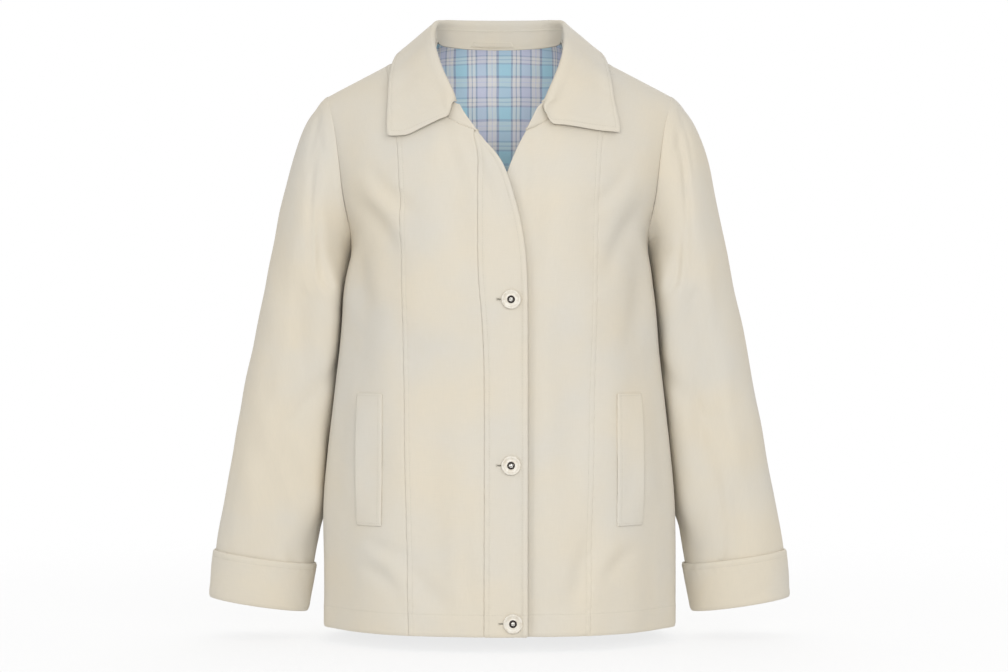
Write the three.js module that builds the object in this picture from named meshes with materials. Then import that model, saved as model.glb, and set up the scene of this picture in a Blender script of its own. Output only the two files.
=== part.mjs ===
// A hip-length buttoned coat, filled out as on a wearer but hollow and open at the neck, hem and cuffs.
// Millimetres, +Z up. The front faces -Y and the wearer's right is at -X.
// The origin is the middle of the neck opening, level with the neck ends of the shoulder seams.
import * as THREE from 'three';

// ------------------------------------------------------------------ driving sizes

const SHELL = 1.6; // wall of the outer cloth with its interlining
const PLACKET = 2.4; // the button placket is folded double
const CUFF = 2.8; // the cuff is turned back on itself
const LINING = 1.0;
const SEAM_GAP = 0.3;
const ARMHOLE_GAP = 0.45; // measured level, across the slanting armhole seam
const LAY_GAP = 0.4; // under a piece that lies on a panel
const NECK_GAP = 0.6; // between the body and the collar stand

const HEM_Z = -698;
const UNDERARM_Z = -248;
const NECK_POINT_X = 76; // neck end of the shoulder seam
const SHOULDER_POINT_X = 208; // sleeve end of the shoulder seam
const SHOULDER_SLOPE = 69 / (SHOULDER_POINT_X - NECK_POINT_X);
const MID_Y = 5; // side seams and shoulder seams
const SQUARENESS = 2.3; // exponent of the body's level sections
const FRONT_ROUND = 2; // exponent of the chest's curve up to the shoulder
const BACK_ROUND = 3;
const ARMHOLE_HALF_DEPTH = 60;
const UNDERLAP = 3.5; // how far the left front passes behind the placket
const CUFF_DEPTH = 55;

// Level sections from the hem to the underarm.
const BODY_ROWS = [
  { z: -698, halfWidth: 207, front: 153, back: 130 },
  { z: -625, halfWidth: 207, front: 151, back: 127 },
  { z: -552, halfWidth: 207, front: 148, back: 122 },
  { z: -492, halfWidth: 202, front: 145, back: 114 },
  { z: -432, halfWidth: 196, front: 142, back: 104 },
  { z: -372, halfWidth: 189, front: 142, back: 101 },
  { z: -312, halfWidth: 183, front: 144.5, back: 107 },
  { z: -280, halfWidth: 179.5, front: 144, back: 110.5 },
  { z: -248, halfWidth: 177, front: 143, back: 112 },
];

// Armhole seam seen from the front: rise 0 is the underarm, 1 the shoulder point.
const ARMHOLE_ROWS = [
  { rise: 0, x: 177 },
  { rise: 0.07, x: 176 },
  { rise: 0.16, x: 179.5 },
  { rise: 0.31, x: 184.5 },
  { rise: 0.52, x: 189 },
  { rise: 0.76, x: 195.5 },
  { rise: 0.93, x: 204 },
  { rise: 1, x: SHOULDER_POINT_X },
];

// Princess seam of each front, from hem to shoulder: x is measured from the centre.
const PRINCESS_ROWS = [
  { z: -698, x: 104 },
  { z: -425, x: 110 },
  { z: -256, x: 114 },
  { z: -130, x: 119 },
  { z: -31, x: 135 },
];

// Right front: x is measured from the centre towards the wearer's right.
const PLACKET_SEAM_ROWS = [
  { z: -698, x: 17.4 },
  { z: -400, x: 17.4 },
  { z: -335, x: 20 },
  { z: -275, x: 24.5 },
  { z: -117, x: 24.5 },
];
const RIGHT_EDGE_ROWS = [
  { z: -698, x: -31.6 },
  { z: -314, x: -31.6 },
  { z: -257, x: -29.3 },
  { z: -225, x: -24.8 },
  { z: -200, x: -18 },
  { z: -167, x: -7.6 },
  { z: -143, x: 4 },
  { z: -118, x: 21 },
];

// Left front: x is measured from the centre towards the wearer's left.
const LEFT_EDGE_ROWS = [
  { z: -698, x: -16 },
  { z: -314, x: -16 },
  { z: -225, x: -10 },
  { z: -167, x: 8.8 },
  { z: -137, x: 21 },
  { z: -116, x: 32 },
];

// Collar from the centre back to the end of the stand. neck is the neck seam, on the named face of
// the body; roll is the fold of the collar; edge is its free outer edge, lying on the named face.
const COLLAR_ROWS = {
  right: [
    { face: 'back', neckX: 0, neckZ: -2, rollX: 0, rollY: 79, rollZ: 34, edgeX: 0, edgeZ: -22 },
    { face: 'back', neckX: 38, neckZ: -1.3, rollX: 38, rollY: 73, rollZ: 33.5, edgeX: 54, edgeZ: -24 },
    { face: 'back', neckX: 63, neckZ: -0.4, rollX: 64, rollY: 54, rollZ: 31.5, edgeX: 100, edgeZ: -27 },
    { face: 'ridge', neckX: 76, neckZ: 0, rollX: 77, rollY: 12, rollZ: 23, edgeX: 123, edgeZ: -20 },
    { face: 'front', neckX: 78.5, neckZ: -25, rollX: 77, rollY: -56, rollZ: -5, edgeX: 126, edgeZ: -53 },
    { face: 'front', neckX: 76.5, neckZ: -50, rollX: 69, rollY: -86, rollZ: -34, edgeX: 127, edgeZ: -84 },
    { face: 'front', neckX: 68, neckZ: -84, rollX: 55, rollY: -106, rollZ: -66, edgeX: 127.5, edgeZ: -107 },
    { face: 'front', neckX: 54, neckZ: -104, rollX: 46, rollY: -113, rollZ: -83, edgeX: 126, edgeZ: -125 },
    { face: 'front', neckX: 21, neckZ: -118, rollX: 42, rollY: -116, rollZ: -89, edgeX: 126, edgeZ: -125 },
  ],
};
// The left half of the collar spreads a little wider at the front.
const LEFT_ROLL_SPREAD = [0, 0, 0, 0, 0, 2, 3, 5, 8];
const LEFT_EDGE_SPREAD = [0, 0, 0, 0, 1, 4.5, 8, 10, 10];
const LEFT_POINT_Z = -121;
COLLAR_ROWS.left = COLLAR_ROWS.right.map((row, index) => ({
  ...row,
  rollX: row.rollX + LEFT_ROLL_SPREAD[index],
  edgeX: row.edgeX + LEFT_EDGE_SPREAD[index],
  edgeZ: Math.max(row.edgeZ, LEFT_POINT_Z),
}));
COLLAR_ROWS.left[7] = { ...COLLAR_ROWS.left[7], neckX: 57 };
COLLAR_ROWS.left[8] = { ...COLLAR_ROWS.left[8], neckX: 32, neckZ: -116, rollZ: -81 };
const NECK_POINT_STATION = 3;
const LEAF_END = 7; // the leaf stops here; the stand runs on to form its tab
const STAND_END = 8;
const STAND_SHARE = 0.63; // of the way from neck seam to roll, where the leaf is sewn on
const LEAF_STANDOFF = 2.6; // clear of the body at its free edge
// Lower edge of the leaf at its front end, from the corner beside the roll towards the point, and how
// far it lifts beyond the leaf's standoff.
const LEAF_FRONT = {
  right: [
    { x: 53.8, z: -102, lift: 3 },
    { x: 68, z: -108, lift: 2 },
    { x: 87, z: -116, lift: 1 },
    { x: 108, z: -124, lift: 0 },
  ],
  left: [
    { x: 59.3, z: -112, lift: 3 },
    { x: 74, z: -113.5, lift: 2 },
    { x: 92, z: -115.5, lift: 1 },
    { x: 112, z: -118, lift: 0 },
  ],
};
const LEAF_FRONT_REACH = 1.6; // stations over which the leaf bends to that lower edge
const LEAF_BULGE = 3; // the leaf bows out between roll and free edge
const LEAF_SAG = 2;
const ROLL_WIDTH = 5.5;
const ROLL_TOP = 0.25; // share of the roll's width and height at which its fold is highest
const FALL_START = 0.12; // share of the way from roll to neck seam where the leaf starts to fall
const SHOULDER_FLAT = 62; // half width of the shoulder's flatter top, across which the leaf lies

// Sleeve rings from the armhole to the wrist: outer and inner line seen from the front.
const SLEEVE_ROWS = [
  { outerX: 208, outerZ: -69, innerX: 177, innerZ: -248, halfDepth: 60, midY: 5 },
  { outerX: 232, outerZ: -99, innerX: 181.5, innerZ: -260, halfDepth: 65, midY: 6 },
  { outerX: 249, outerZ: -143, innerX: 184.5, innerZ: -279, halfDepth: 69, midY: 9 },
  { outerX: 262, outerZ: -197, innerX: 187, innerZ: -304, halfDepth: 69, midY: 12 },
  { outerX: 275, outerZ: -258, innerX: 190, innerZ: -336, halfDepth: 66, midY: 14 },
  { outerX: 289, outerZ: -327, innerX: 194.5, innerZ: -375, halfDepth: 61, midY: 16 },
  { outerX: 303, outerZ: -396, innerX: 200, innerZ: -427, halfDepth: 56, midY: 16 },
  { outerX: 317, outerZ: -470, innerX: 206.5, innerZ: -489, halfDepth: 52, midY: 14 },
  { outerX: 331, outerZ: -548, innerX: 213.5, innerZ: -563, halfDepth: 47, midY: 12 },
  { outerX: 341, outerZ: -612, innerX: 223.5, innerZ: -628, halfDepth: 41, midY: 10 },
  { outerX: 346.5, outerZ: -667, innerX: 233, innerZ: -684, halfDepth: 37, midY: 9 },
];

// Soft folds of the fronts, mirrored on both sides: a trough runs from one place to the other.
const BODY_FOLDS = [
  { fromX: 172, fromZ: -205, toX: 118, toZ: -285, width: 15, depth: 3.2 },
  { fromX: 168, fromZ: -270, toX: 158, toZ: -420, width: 17, depth: 3.4 },
  { fromX: 60, fromZ: -150, toX: 34, toZ: -270, width: 16, depth: 2.6 },
  { fromX: 88, fromZ: -380, toX: 82, toZ: -660, width: 24, depth: 2.6 },
  { fromX: 178, fromZ: -560, toX: 176, toZ: -690, width: 16, depth: 3.4 },
];
// Folds of the back, mirrored on both sides.
const BACK_FOLDS = [
  { fromX: 150, fromZ: -190, toX: 112, toZ: -330, width: 20, depth: 3.6 },
  { fromX: 48, fromZ: -330, toX: 56, toZ: -660, width: 26, depth: 3.4 },
  { fromX: 128, fromZ: -400, toX: 134, toZ: -680, width: 22, depth: 4.0 },
];
// Folds of the sleeve: turn is the angle round the ring from the outer line, positive to the front.
const SLEEVE_FOLDS = [
  { fromTurn: 62, fromRing: 0.6, toTurn: 120, toRing: 3.4, width: 12, depth: 4.2 },
  { fromTurn: 96, fromRing: 4.2, toTurn: 84, toRing: 8.8, width: 13, depth: 3.6 },
  { fromTurn: 150, fromRing: 5.4, toTurn: 104, toRing: 6.6, width: 11, depth: 3.4 },
  { fromTurn: -70, fromRing: 0.8, toTurn: -118, toRing: 3.6, width: 14, depth: 4.0 },
  { fromTurn: -92, fromRing: 5.2, toTurn: -60, toRing: 8.6, width: 15, depth: 3.6 },
];

const FOLD_FADE = 28; // folds die out this far from the side and armhole seams

const POCKET = { innerX: 136, outerX: 165, bottomZ: -574, topZ: -422, wall: 1.8 };
const BUTTONS = [
  { name: 'button_top', x: 13.4, z: -313 },
  { name: 'button_middle', x: 13.4, z: -503 },
  { name: 'button_bottom', x: 15.6, z: -683 },
];
const BUTTON_RADIUS = 11.3;
const BUTTON_HEIGHT = 3.4;
const LOOP = { middleX: -9, length: 55, height: 7, slant: 5, wall: 1.2, gap: 0.8 };
const LINING_HEM_Z = -672;
const LINING_GAP = 0.7; // the lining is the back's inner face, moved towards the hollow's axis
const LINING_AXIS = { y: -20, topZ: -120 };

// How finely the solids are divided.
const ARMHOLE_STEPS = 13; // from underarm to shoulder point, shared by body and sleeve
const LOWER_STEPS = 8; // from hem to underarm
const NECK_COLUMNS = 6; // of the back, from the centre to the neck point
const BACK_COLUMNS = 7; // of the back, from the neck point to the side

// ------------------------------------------------------------------ small maths

const lerp = (a, b, t) => a + (b - a) * t;
const clamp = (value, low, high) => Math.min(Math.max(value, low), high);
const signedPower = (value, power) => Math.sign(value) * Math.abs(value) ** power;

// Smooth curve through one column of a table, read at a value of its key column.
function readTable(rows, key, column, at) {
  const last = rows.length - 1;
  const slope = (index) => {
    const before = rows[Math.max(index - 1, 0)];
    const after = rows[Math.min(index + 1, last)];
    return (after[column] - before[column]) / (after[key] - before[key]);
  };
  let index = 0;
  while (index < last - 1 && at > rows[index + 1][key]) index += 1;
  const span = rows[index + 1][key] - rows[index][key];
  const t = clamp((at - rows[index][key]) / span, 0, 1);
  const rise = 3 * t * t - 2 * t * t * t;
  const bend = t * (1 - t);
  return lerp(rows[index][column], rows[index + 1][column], rise)
    + bend * span * ((1 - t) * slope(index) - t * slope(index + 1));
}

// The same with the row number as key.
function readRows(rows, column, place) {
  const numbered = rows.map((row, index) => ({ index, value: row[column] }));
  return readTable(numbered, 'index', 'value', place);
}

function bisect(test, low, high) {
  for (let step = 0; step < 40; step += 1) {
    const middle = (low + high) / 2;
    if (test(middle)) low = middle;
    else high = middle;
  }
  return (low + high) / 2;
}

const steps = (count) => Array.from({ length: count + 1 }, (_, index) => index / count);

// Depth of the folds of one table at a flat place (a, b).
function foldDepth(folds, a, b) {
  let depth = 0;
  for (const fold of folds) {
    const alongA = fold.toA - fold.fromA;
    const alongB = fold.toB - fold.fromB;
    const length = alongA * alongA + alongB * alongB;
    const t = ((a - fold.fromA) * alongA + (b - fold.fromB) * alongB) / length;
    const nearest = clamp(t, 0, 1);
    const awayA = a - fold.fromA - nearest * alongA;
    const awayB = b - fold.fromB - nearest * alongB;
    const away = Math.hypot(awayA, awayB) / fold.width;
    depth += fold.depth * Math.exp(-away * away);
  }
  return depth;
}

const flatFold = (fold) => ({
  ...fold, fromA: fold.fromX, fromB: fold.fromZ, toA: fold.toX, toB: fold.toZ,
});
const frontFolds = BODY_FOLDS.map(flatFold);
const backFolds = BACK_FOLDS.map(flatFold);

// ------------------------------------------------------------------ body surface
// height runs from 0 at the hem through 1 at the underarm to 2 at the shoulder ridge.
// angle runs from 0 at the centre to 90 degrees at the side. Points are given for the wearer's
// left side, at +X; the right side is their mirror image.

function ridgeZ(x) {
  const reach = Math.abs(x);
  if (reach > NECK_POINT_X) return -SHOULDER_SLOPE * (reach - NECK_POINT_X);
  return SHOULDER_SLOPE * (NECK_POINT_X ** 2 - reach ** 2) / (2 * NECK_POINT_X);
}

const riseOf = (height) => Math.sin(clamp(height - 1, 0, 1) * Math.PI / 2);
const heightOfRise = (rise) => 1 + Math.asin(rise) * 2 / Math.PI;

function section(height, back) {
  const z = lerp(HEM_Z, UNDERARM_Z, Math.min(height, 1));
  const rise = riseOf(height);
  const round = back ? BACK_ROUND : FRONT_ROUND;
  const fullDepth = readTable(BODY_ROWS, 'z', back ? 'back' : 'front', z);
  const depth = fullDepth * (1 - rise ** round) ** (1 / round);
  if (rise === 0) return { z, rise, depth, halfWidth: readTable(BODY_ROWS, 'z', 'halfWidth', z) };
  const edgeX = readTable(ARMHOLE_ROWS, 'rise', 'x', rise);
  const reach = ARMHOLE_HALF_DEPTH * 2 * Math.sqrt(rise * (1 - rise)) / depth;
  const halfWidth = edgeX / (1 - reach ** SQUARENESS) ** (1 / SQUARENESS);
  return { z, rise, depth, halfWidth, edgeX };
}

function bodyPoint(height, angle, back) {
  const { z, rise, depth, halfWidth, edgeX } = section(height, back);
  const x = halfWidth * signedPower(Math.sin(angle), 2 / SQUARENESS);
  const level = rise === 0 ? z : lerp(UNDERARM_Z, ridgeZ(x), rise);
  const outward = depth * Math.abs(Math.cos(angle)) ** (2 / SQUARENESS);
  const fade = clamp(((edgeX ?? halfWidth) - Math.abs(x)) / FOLD_FADE, 0, 1) * (1 - rise ** 2);
  const fold = fade * foldDepth(back ? backFolds : frontFolds, Math.abs(x), level);
  return new THREE.Vector3(x, MID_Y + (back ? 1 : -1) * (outward - fold), level);
}

function heightAt(x, z) {
  if (z <= UNDERARM_Z) return (z - HEM_Z) / (UNDERARM_Z - HEM_Z);
  const rise = clamp((z - UNDERARM_Z) / (ridgeZ(x) - UNDERARM_Z), 0, 1);
  return heightOfRise(rise);
}

function angleAt(height, x, back) {
  const share = clamp(Math.abs(x) / section(height, back).halfWidth, 0, 1);
  return Math.sign(x) * Math.asin(share ** (SQUARENESS / 2));
}

// Angle of the side seam, or of the armhole seam above it.
function sideAngle(height, back) {
  const { edgeX, rise } = section(height, back);
  return rise === 0 ? Math.PI / 2 : angleAt(height, edgeX, back);
}

// Highest height of a panel: half a seam gap short of the shoulder seam.
function ridgeHeight(back) {
  const round = back ? BACK_ROUND : FRONT_ROUND;
  const depth = readTable(BODY_ROWS, 'z', back ? 'back' : 'front', UNDERARM_Z);
  const rise = (1 - (SEAM_GAP / 2 / depth) ** round) ** (1 / round);
  return heightOfRise(rise);
}

function bodyNormal(height, angle, back) {
  const small = 0.002;
  const here = bodyPoint(height, angle, back);
  const down = bodyPoint(height - small, angle, back).sub(here);
  const inner = bodyPoint(height, angle - small, back);
  const across = bodyPoint(height, Math.min(angle + small, Math.PI / 2), back).sub(inner);
  const normal = new THREE.Vector3().crossVectors(across, down).normalize();
  const outwardY = back ? 1 : -1;
  const outward = new THREE.Vector3(Math.sin(angle), outwardY * Math.cos(angle), 0.2);
  return normal.dot(outward) < 0 ? normal.negate() : normal;
}

// The angle a given distance nearer the centre than another, or farther from it if negative.
function angleBefore(height, angle, back, distance) {
  const start = bodyPoint(height, angle, back);
  const way = Math.sign(distance);
  const isNear = (shift) => (
    bodyPoint(height, angle - shift * way, back).distanceTo(start) < Math.abs(distance)
  );
  return angle - way * bisect(isNear, 0, 0.3);
}

// ------------------------------------------------------------------ walls
// A wall is a grid of places, each with its outer and its inner point.

const place = (outer, inward) => ({ outer, inner: outer.clone().add(inward) });
const backNeckZ = (x) => -2 * (1 - (x / NECK_POINT_X) ** 2);
const mirrored = (point, side) => new THREE.Vector3(point.x * side, point.y, point.z);

function mirrorGrid(grid, side) {
  return grid.map((row) => row.map(({ outer, inner }) => ({
    outer: mirrored(outer, side), inner: mirrored(inner, side),
  })));
}

function wallGeometry(grid, closedRound = false) {
  const rowCount = grid.length;
  const columnCount = grid[0].length;
  const positions = [];
  for (const layer of ['outer', 'inner']) {
    for (const row of grid) for (const spot of row) positions.push(...spot[layer].toArray());
  }
  const at = (layer, row, column) => (layer * rowCount + row) * columnCount + (column % columnCount);
  const index = [];
  const corner = (i) => new THREE.Vector3().fromArray(positions, i * 3);
  const isShort = (a, b, c, d) => corner(a).distanceTo(corner(c)) < corner(b).distanceTo(corner(d)) + 0.001;
  const split = (a, b, c, d, short) => index.push(...(short ? [a, b, c, a, c, d] : [b, c, d, b, d, a]));
  const quad = (a, b, c, d) => split(a, b, c, d, true);
  const lastColumn = closedRound ? columnCount : columnCount - 1;
  for (let row = 0; row < rowCount - 1; row += 1) {
    for (let column = 0; column < lastColumn; column += 1) {
      const corners = [[row, column], [row, column + 1], [row + 1, column + 1], [row + 1, column]];
      const outer = corners.map(([r, c]) => at(0, r, c));
      const inner = corners.map(([r, c]) => at(1, r, c));
      const short = isShort(...outer); // both layers split along the same diagonal
      split(...outer, short);
      split(inner[0], inner[3], inner[2], inner[1], short);
    }
    if (!closedRound) {
      quad(at(0, row, 0), at(0, row + 1, 0), at(1, row + 1, 0), at(1, row, 0));
      quad(at(0, row + 1, lastColumn), at(0, row, lastColumn), at(1, row, lastColumn),
        at(1, row + 1, lastColumn));
    }
  }
  for (let column = 0; column < lastColumn; column += 1) {
    const end = rowCount - 1;
    quad(at(0, 0, column + 1), at(0, 0, column), at(1, 0, column), at(1, 0, column + 1));
    quad(at(0, end, column), at(0, end, column + 1), at(1, end, column + 1), at(1, end, column));
  }
  return facingOut(positions, index);
}

// Turns every face over where the solid's signed volume is negative.
function facingOut(positions, index) {
  let volume = 0;
  const corner = (i) => new THREE.Vector3().fromArray(positions, index[i] * 3);
  for (let i = 0; i < index.length; i += 3) {
    volume += corner(i).dot(corner(i + 1).cross(corner(i + 2)));
  }
  if (volume < 0) {
    for (let i = 0; i < index.length; i += 3) [index[i], index[i + 1]] = [index[i + 1], index[i]];
  }
  const geometry = new THREE.BufferGeometry();
  geometry.setAttribute('position', new THREE.Float32BufferAttribute(positions, 3));
  geometry.setIndex(index);
  geometry.computeVertexNormals();
  return geometry;
}

// ------------------------------------------------------------------ sleeves
// ring runs from 0 at the armhole to the last row at the wrist; turn goes round from the outer
// line, positive to the front.

const LAST_RING = SLEEVE_ROWS.length - 1;
const LAST_RING_SPACING = 55.3; // between the last two rows, along the outer line
const sleeveFolds = SLEEVE_FOLDS.map((fold) => ({
  ...fold,
  fromA: THREE.MathUtils.degToRad(fold.fromTurn) * 60,
  toA: THREE.MathUtils.degToRad(fold.toTurn) * 60,
  fromB: fold.fromRing * 60,
  toB: fold.toRing * 60,
}));

function armholePoint(turn) {
  const rise = (1 + Math.cos(turn)) / 2;
  const x = readTable(ARMHOLE_ROWS, 'rise', 'x', rise);
  const y = MID_Y - ARMHOLE_HALF_DEPTH * Math.sin(turn);
  return new THREE.Vector3(x, y, lerp(UNDERARM_Z, ridgeZ(x), rise));
}

function smoothSleeve(ring, turn) {
  const outer = new THREE.Vector3(
    readRows(SLEEVE_ROWS, 'outerX', ring), 0, readRows(SLEEVE_ROWS, 'outerZ', ring));
  const inner = new THREE.Vector3(
    readRows(SLEEVE_ROWS, 'innerX', ring), 0, readRows(SLEEVE_ROWS, 'innerZ', ring));
  const point = inner.lerp(outer, (1 + Math.cos(turn)) / 2);
  const halfDepth = readRows(SLEEVE_ROWS, 'halfDepth', ring);
  point.y = readRows(SLEEVE_ROWS, 'midY', ring) - halfDepth * Math.sin(turn);
  if (ring >= 1) return point;
  const [first] = SLEEVE_ROWS;
  const share = (1 + Math.cos(turn)) / 2;
  const seam = armholePoint(turn);
  const atArmhole = (1 - ring) ** 2;
  point.x += (seam.x + ARMHOLE_GAP - lerp(first.innerX, first.outerX, share)) * atArmhole;
  point.z += (seam.z - lerp(first.innerZ, first.outerZ, share)) * atArmhole;
  return point;
}

function sleeveNormal(ring, turn) {
  const small = 0.01;
  const along = smoothSleeve(Math.min(ring + small, LAST_RING), turn)
    .sub(smoothSleeve(Math.max(ring - small, 0), turn));
  const round = smoothSleeve(ring, turn + small).sub(smoothSleeve(ring, turn - small));
  return new THREE.Vector3().crossVectors(along, round).normalize().negate();
}

function sleevePoint(ring, turn) {
  const fade = clamp(ring / 0.6, 0, 1) * clamp((9.3 - ring) / 0.8, 0, 1);
  const depth = fade * foldDepth(sleeveFolds, turn * 60, ring * 60);
  return smoothSleeve(ring, turn).addScaledVector(sleeveNormal(ring, turn), -depth);
}

// Where body and sleeve meet, both walls end on one mitred line.
function armholeInward(turn) {
  const back = Math.sin(turn) < 0;
  const rise = (1 + Math.cos(turn)) / 2;
  const height = Math.min(heightOfRise(rise), ridgeHeight(back));
  const body = bodyNormal(height, sideAngle(height, back), back);
  const sum = body.add(sleeveNormal(0, turn));
  return sum.normalize().multiplyScalar(-SHELL * 1.15);
}

function sleeveGrid() {
  const ringSteps = [0, 0.35, 0.75, 1.2, 1.8, 2.5, 3.2, 4, 4.8, 5.6, 6.4, 7.2, 8, 9, LAST_RING];
  const columns = 2 * ARMHOLE_STEPS;
  return ringSteps.map((ring) => Array.from({ length: columns }, (_, column) => {
    const turn = (column / columns - 0.5) * 2 * Math.PI;
    if (ring === 0) return place(sleevePoint(0, turn), armholeInward(turn));
    return place(sleevePoint(ring, turn), sleeveNormal(ring, turn).multiplyScalar(-SHELL));
  }));
}

function cuffGrid() {
  const startRing = LAST_RING - CUFF_DEPTH / LAST_RING_SPACING;
  const columns = 2 * ARMHOLE_STEPS;
  return steps(3).map((share) => Array.from({ length: columns }, (_, column) => {
    const turn = (column / columns - 0.5) * 2 * Math.PI;
    const ring = lerp(startRing, LAST_RING, share);
    const normal = sleeveNormal(ring, turn);
    const lift = LAY_GAP + CUFF + 0.5 * (1 - share);
    return place(smoothSleeve(ring, turn).addScaledVector(normal, lift), normal.multiplyScalar(-CUFF));
  }));
}

// ------------------------------------------------------------------ body panels

const LOWER_HEIGHTS = steps(LOWER_STEPS).slice(0, LOWER_STEPS);
const UPPER_HEIGHTS = steps(ARMHOLE_STEPS).map((share) => (
  heightOfRise((1 - Math.cos(share * Math.PI)) / 2)
));
const bodyHeights = (back) => [...LOWER_HEIGHTS, ...UPPER_HEIGHTS]
  .map((height) => Math.min(height, ridgeHeight(back)));

function panelPlace(height, angle, back, wall) {
  const inward = bodyNormal(height, angle, back).multiplyScalar(-wall);
  return place(bodyPoint(height, angle, back), inward);
}

// Turn of the armhole point at a height above the underarm.
function turnAt(height, back) {
  const turn = Math.acos(clamp(2 * riseOf(height) - 1, -1, 1));
  return back ? -turn : turn;
}

// One row of a panel that ends at the side seam or the armhole.
function rowToSide(height, fromAngle, columns, back) {
  const side = sideAngle(height, back);
  const end = height > 1 ? side : angleBefore(height, side, back, SEAM_GAP / 2);
  return steps(columns).map((share) => {
    const spot = panelPlace(height, lerp(fromAngle, end, share), back, SHELL);
    const atArmhole = share === 1 && height >= 1;
    return atArmhole ? place(spot.outer, armholeInward(turnAt(height, back))) : spot;
  });
}

function princessAngle(height) {
  const x = bisect((value) => {
    const z = bodyPoint(height, angleAt(height, value, false), false).z;
    return value < readTable(PRINCESS_ROWS, 'z', 'x', z);
  }, 60, 180);
  return angleAt(height, x, false);
}

function frontSideGrid(side) {
  return frontHeights(side === 'left' ? LEFT_EDGE_ROWS : PLACKET_SEAM_ROWS).map((height) => {
    const start = angleBefore(height, princessAngle(height), false, -SEAM_GAP / 2);
    return rowToSide(height, start, 5, false);
  });
}

// Inner boundary of a front: its edge or placket seam, then the neck seam.
function frontBoundary(edgeRows, side) {
  const curve = steps(60).map((share) => neckPlace(side, lerp(STAND_END, NECK_POINT_STATION, share)));
  const topZ = edgeRows[edgeRows.length - 1].z;
  return (z) => {
    if (z <= topZ) return readTable(edgeRows, 'z', 'x', z);
    const next = curve.findIndex((point) => point.z >= z);
    if (next < 1) return next < 0 ? NECK_POINT_X : curve[0].x;
    const share = (z - curve[next - 1].z) / (curve[next].z - curve[next - 1].z);
    return lerp(curve[next - 1].x, curve[next].x, share);
  };
}

function boundaryAngle(height, boundary) {
  const x = bisect((value) => {
    const z = bodyPoint(height, angleAt(height, value, false), false).z;
    return value < boundary(z);
  }, -40, 90);
  return angleAt(height, x, false);
}

// Row heights of a front, one of them through the corner where its edge meets the neck seam.
function frontHeights(edgeRows) {
  const corner = edgeRows[edgeRows.length - 1];
  const cornerHeight = heightAt(corner.x, corner.z);
  const heights = bodyHeights(false);
  const distances = heights.map((height) => Math.abs(height - cornerHeight));
  heights[distances.indexOf(Math.min(...distances))] = cornerHeight;
  return heights;
}

// The left front drops behind the placket near the centre.
function underlapped(spot) {
  const share = clamp((62 - spot.outer.x) / 28, 0, 1);
  const drop = UNDERLAP * share * share * (3 - 2 * share);
  spot.outer.y += drop;
  spot.inner.y += drop;
  return spot;
}

function frontCentreGrid(side, columns) {
  const isLeft = side === 'left';
  const edgeRows = isLeft ? LEFT_EDGE_ROWS : PLACKET_SEAM_ROWS;
  const boundary = frontBoundary(edgeRows, side);
  return frontHeights(edgeRows).map((height) => {
    const start = boundaryAngle(height, boundary);
    const inner = isLeft ? start : angleBefore(height, start, false, -SEAM_GAP / 2);
    const outer = angleBefore(height, princessAngle(height), false, SEAM_GAP / 2);
    return steps(columns).map((share) => {
      const spot = panelPlace(height, lerp(inner, outer, share), false, SHELL);
      return isLeft ? underlapped(spot) : spot;
    });
  });
}

function placketGrid() {
  const seam = frontBoundary(PLACKET_SEAM_ROWS, 'right');
  const edge = (z) => readTable(RIGHT_EDGE_ROWS, 'z', 'x', z);
  const corner = PLACKET_SEAM_ROWS[PLACKET_SEAM_ROWS.length - 1];
  const top = heightAt(corner.x, corner.z);
  return frontHeights(PLACKET_SEAM_ROWS).filter((height) => height <= top).map((height) => {
    const start = angleBefore(height, boundaryAngle(height, seam), false, SEAM_GAP / 2);
    const end = boundaryAngle(height, edge);
    return steps(4).map((across) => panelPlace(height, lerp(start, end, across), false, PLACKET));
  });
}

// Angle of a column of the back. Those up to the neck point are closest together beside it.
function backAngle(height, column) {
  const { edgeX, halfWidth } = section(height, true);
  const neckX = NECK_POINT_X * (edgeX ?? halfWidth) / SHOULDER_POINT_X;
  const nearness = Math.max(1 - column / NECK_COLUMNS, 0);
  const neckAngle = angleAt(height, neckX * (1 - nearness ** 2), true);
  if (column <= NECK_COLUMNS) return neckAngle;
  const side = sideAngle(height, true);
  const end = height > 1 ? side : angleBefore(height, side, true, SEAM_GAP / 2);
  return lerp(neckAngle, end, (column - NECK_COLUMNS) / BACK_COLUMNS);
}

// Highest height of a column of the back: the shoulder seam, or the neck seam between the neck points.
function backTop(column) {
  const top = ridgeHeight(true);
  if (column >= NECK_COLUMNS) return top;
  return bisect((height) => {
    const point = bodyPoint(height, backAngle(height, column), true);
    return point.z < backNeckZ(point.x);
  }, 1, top);
}

function backHalf() {
  const lastColumn = NECK_COLUMNS + BACK_COLUMNS;
  const columnTops = Array.from({ length: lastColumn + 1 }, (_, column) => backTop(column));
  const top = ridgeHeight(true);
  return bodyHeights(true).map((level) => columnTops.map((columnTop, column) => {
    const height = level <= 1 ? level : lerp(1, columnTop, (level - 1) / (top - 1));
    const spot = panelPlace(height, backAngle(height, column), true, SHELL);
    const atArmhole = column === lastColumn && height >= 1;
    return atArmhole ? place(spot.outer, armholeInward(turnAt(height, true))) : spot;
  }));
}

function withMirrorImage(half) {
  const otherHalf = mirrorGrid(half, -1);
  return half.map((row, index) => [...otherHalf[index].slice(1).reverse(), ...row]);
}

// The lining hangs inside the back: its points moved in towards the axis of the hollow.
function liningGrid() {
  const rows = backHalf();
  const hem = rows.findIndex((row) => row[0].outer.z > LINING_HEM_Z);
  return withMirrorImage(rows.slice(hem).map((row) => row.slice(0, -1).map(({ inner }) => {
    const centre = new THREE.Vector3(0, LINING_AXIS.y, Math.min(inner.z, LINING_AXIS.topZ));
    const inward = centre.sub(inner).normalize();
    return place(inner.clone().addScaledVector(inward, LINING_GAP), inward.multiplyScalar(LINING));
  })));
}

// ------------------------------------------------------------------ collar

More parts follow.
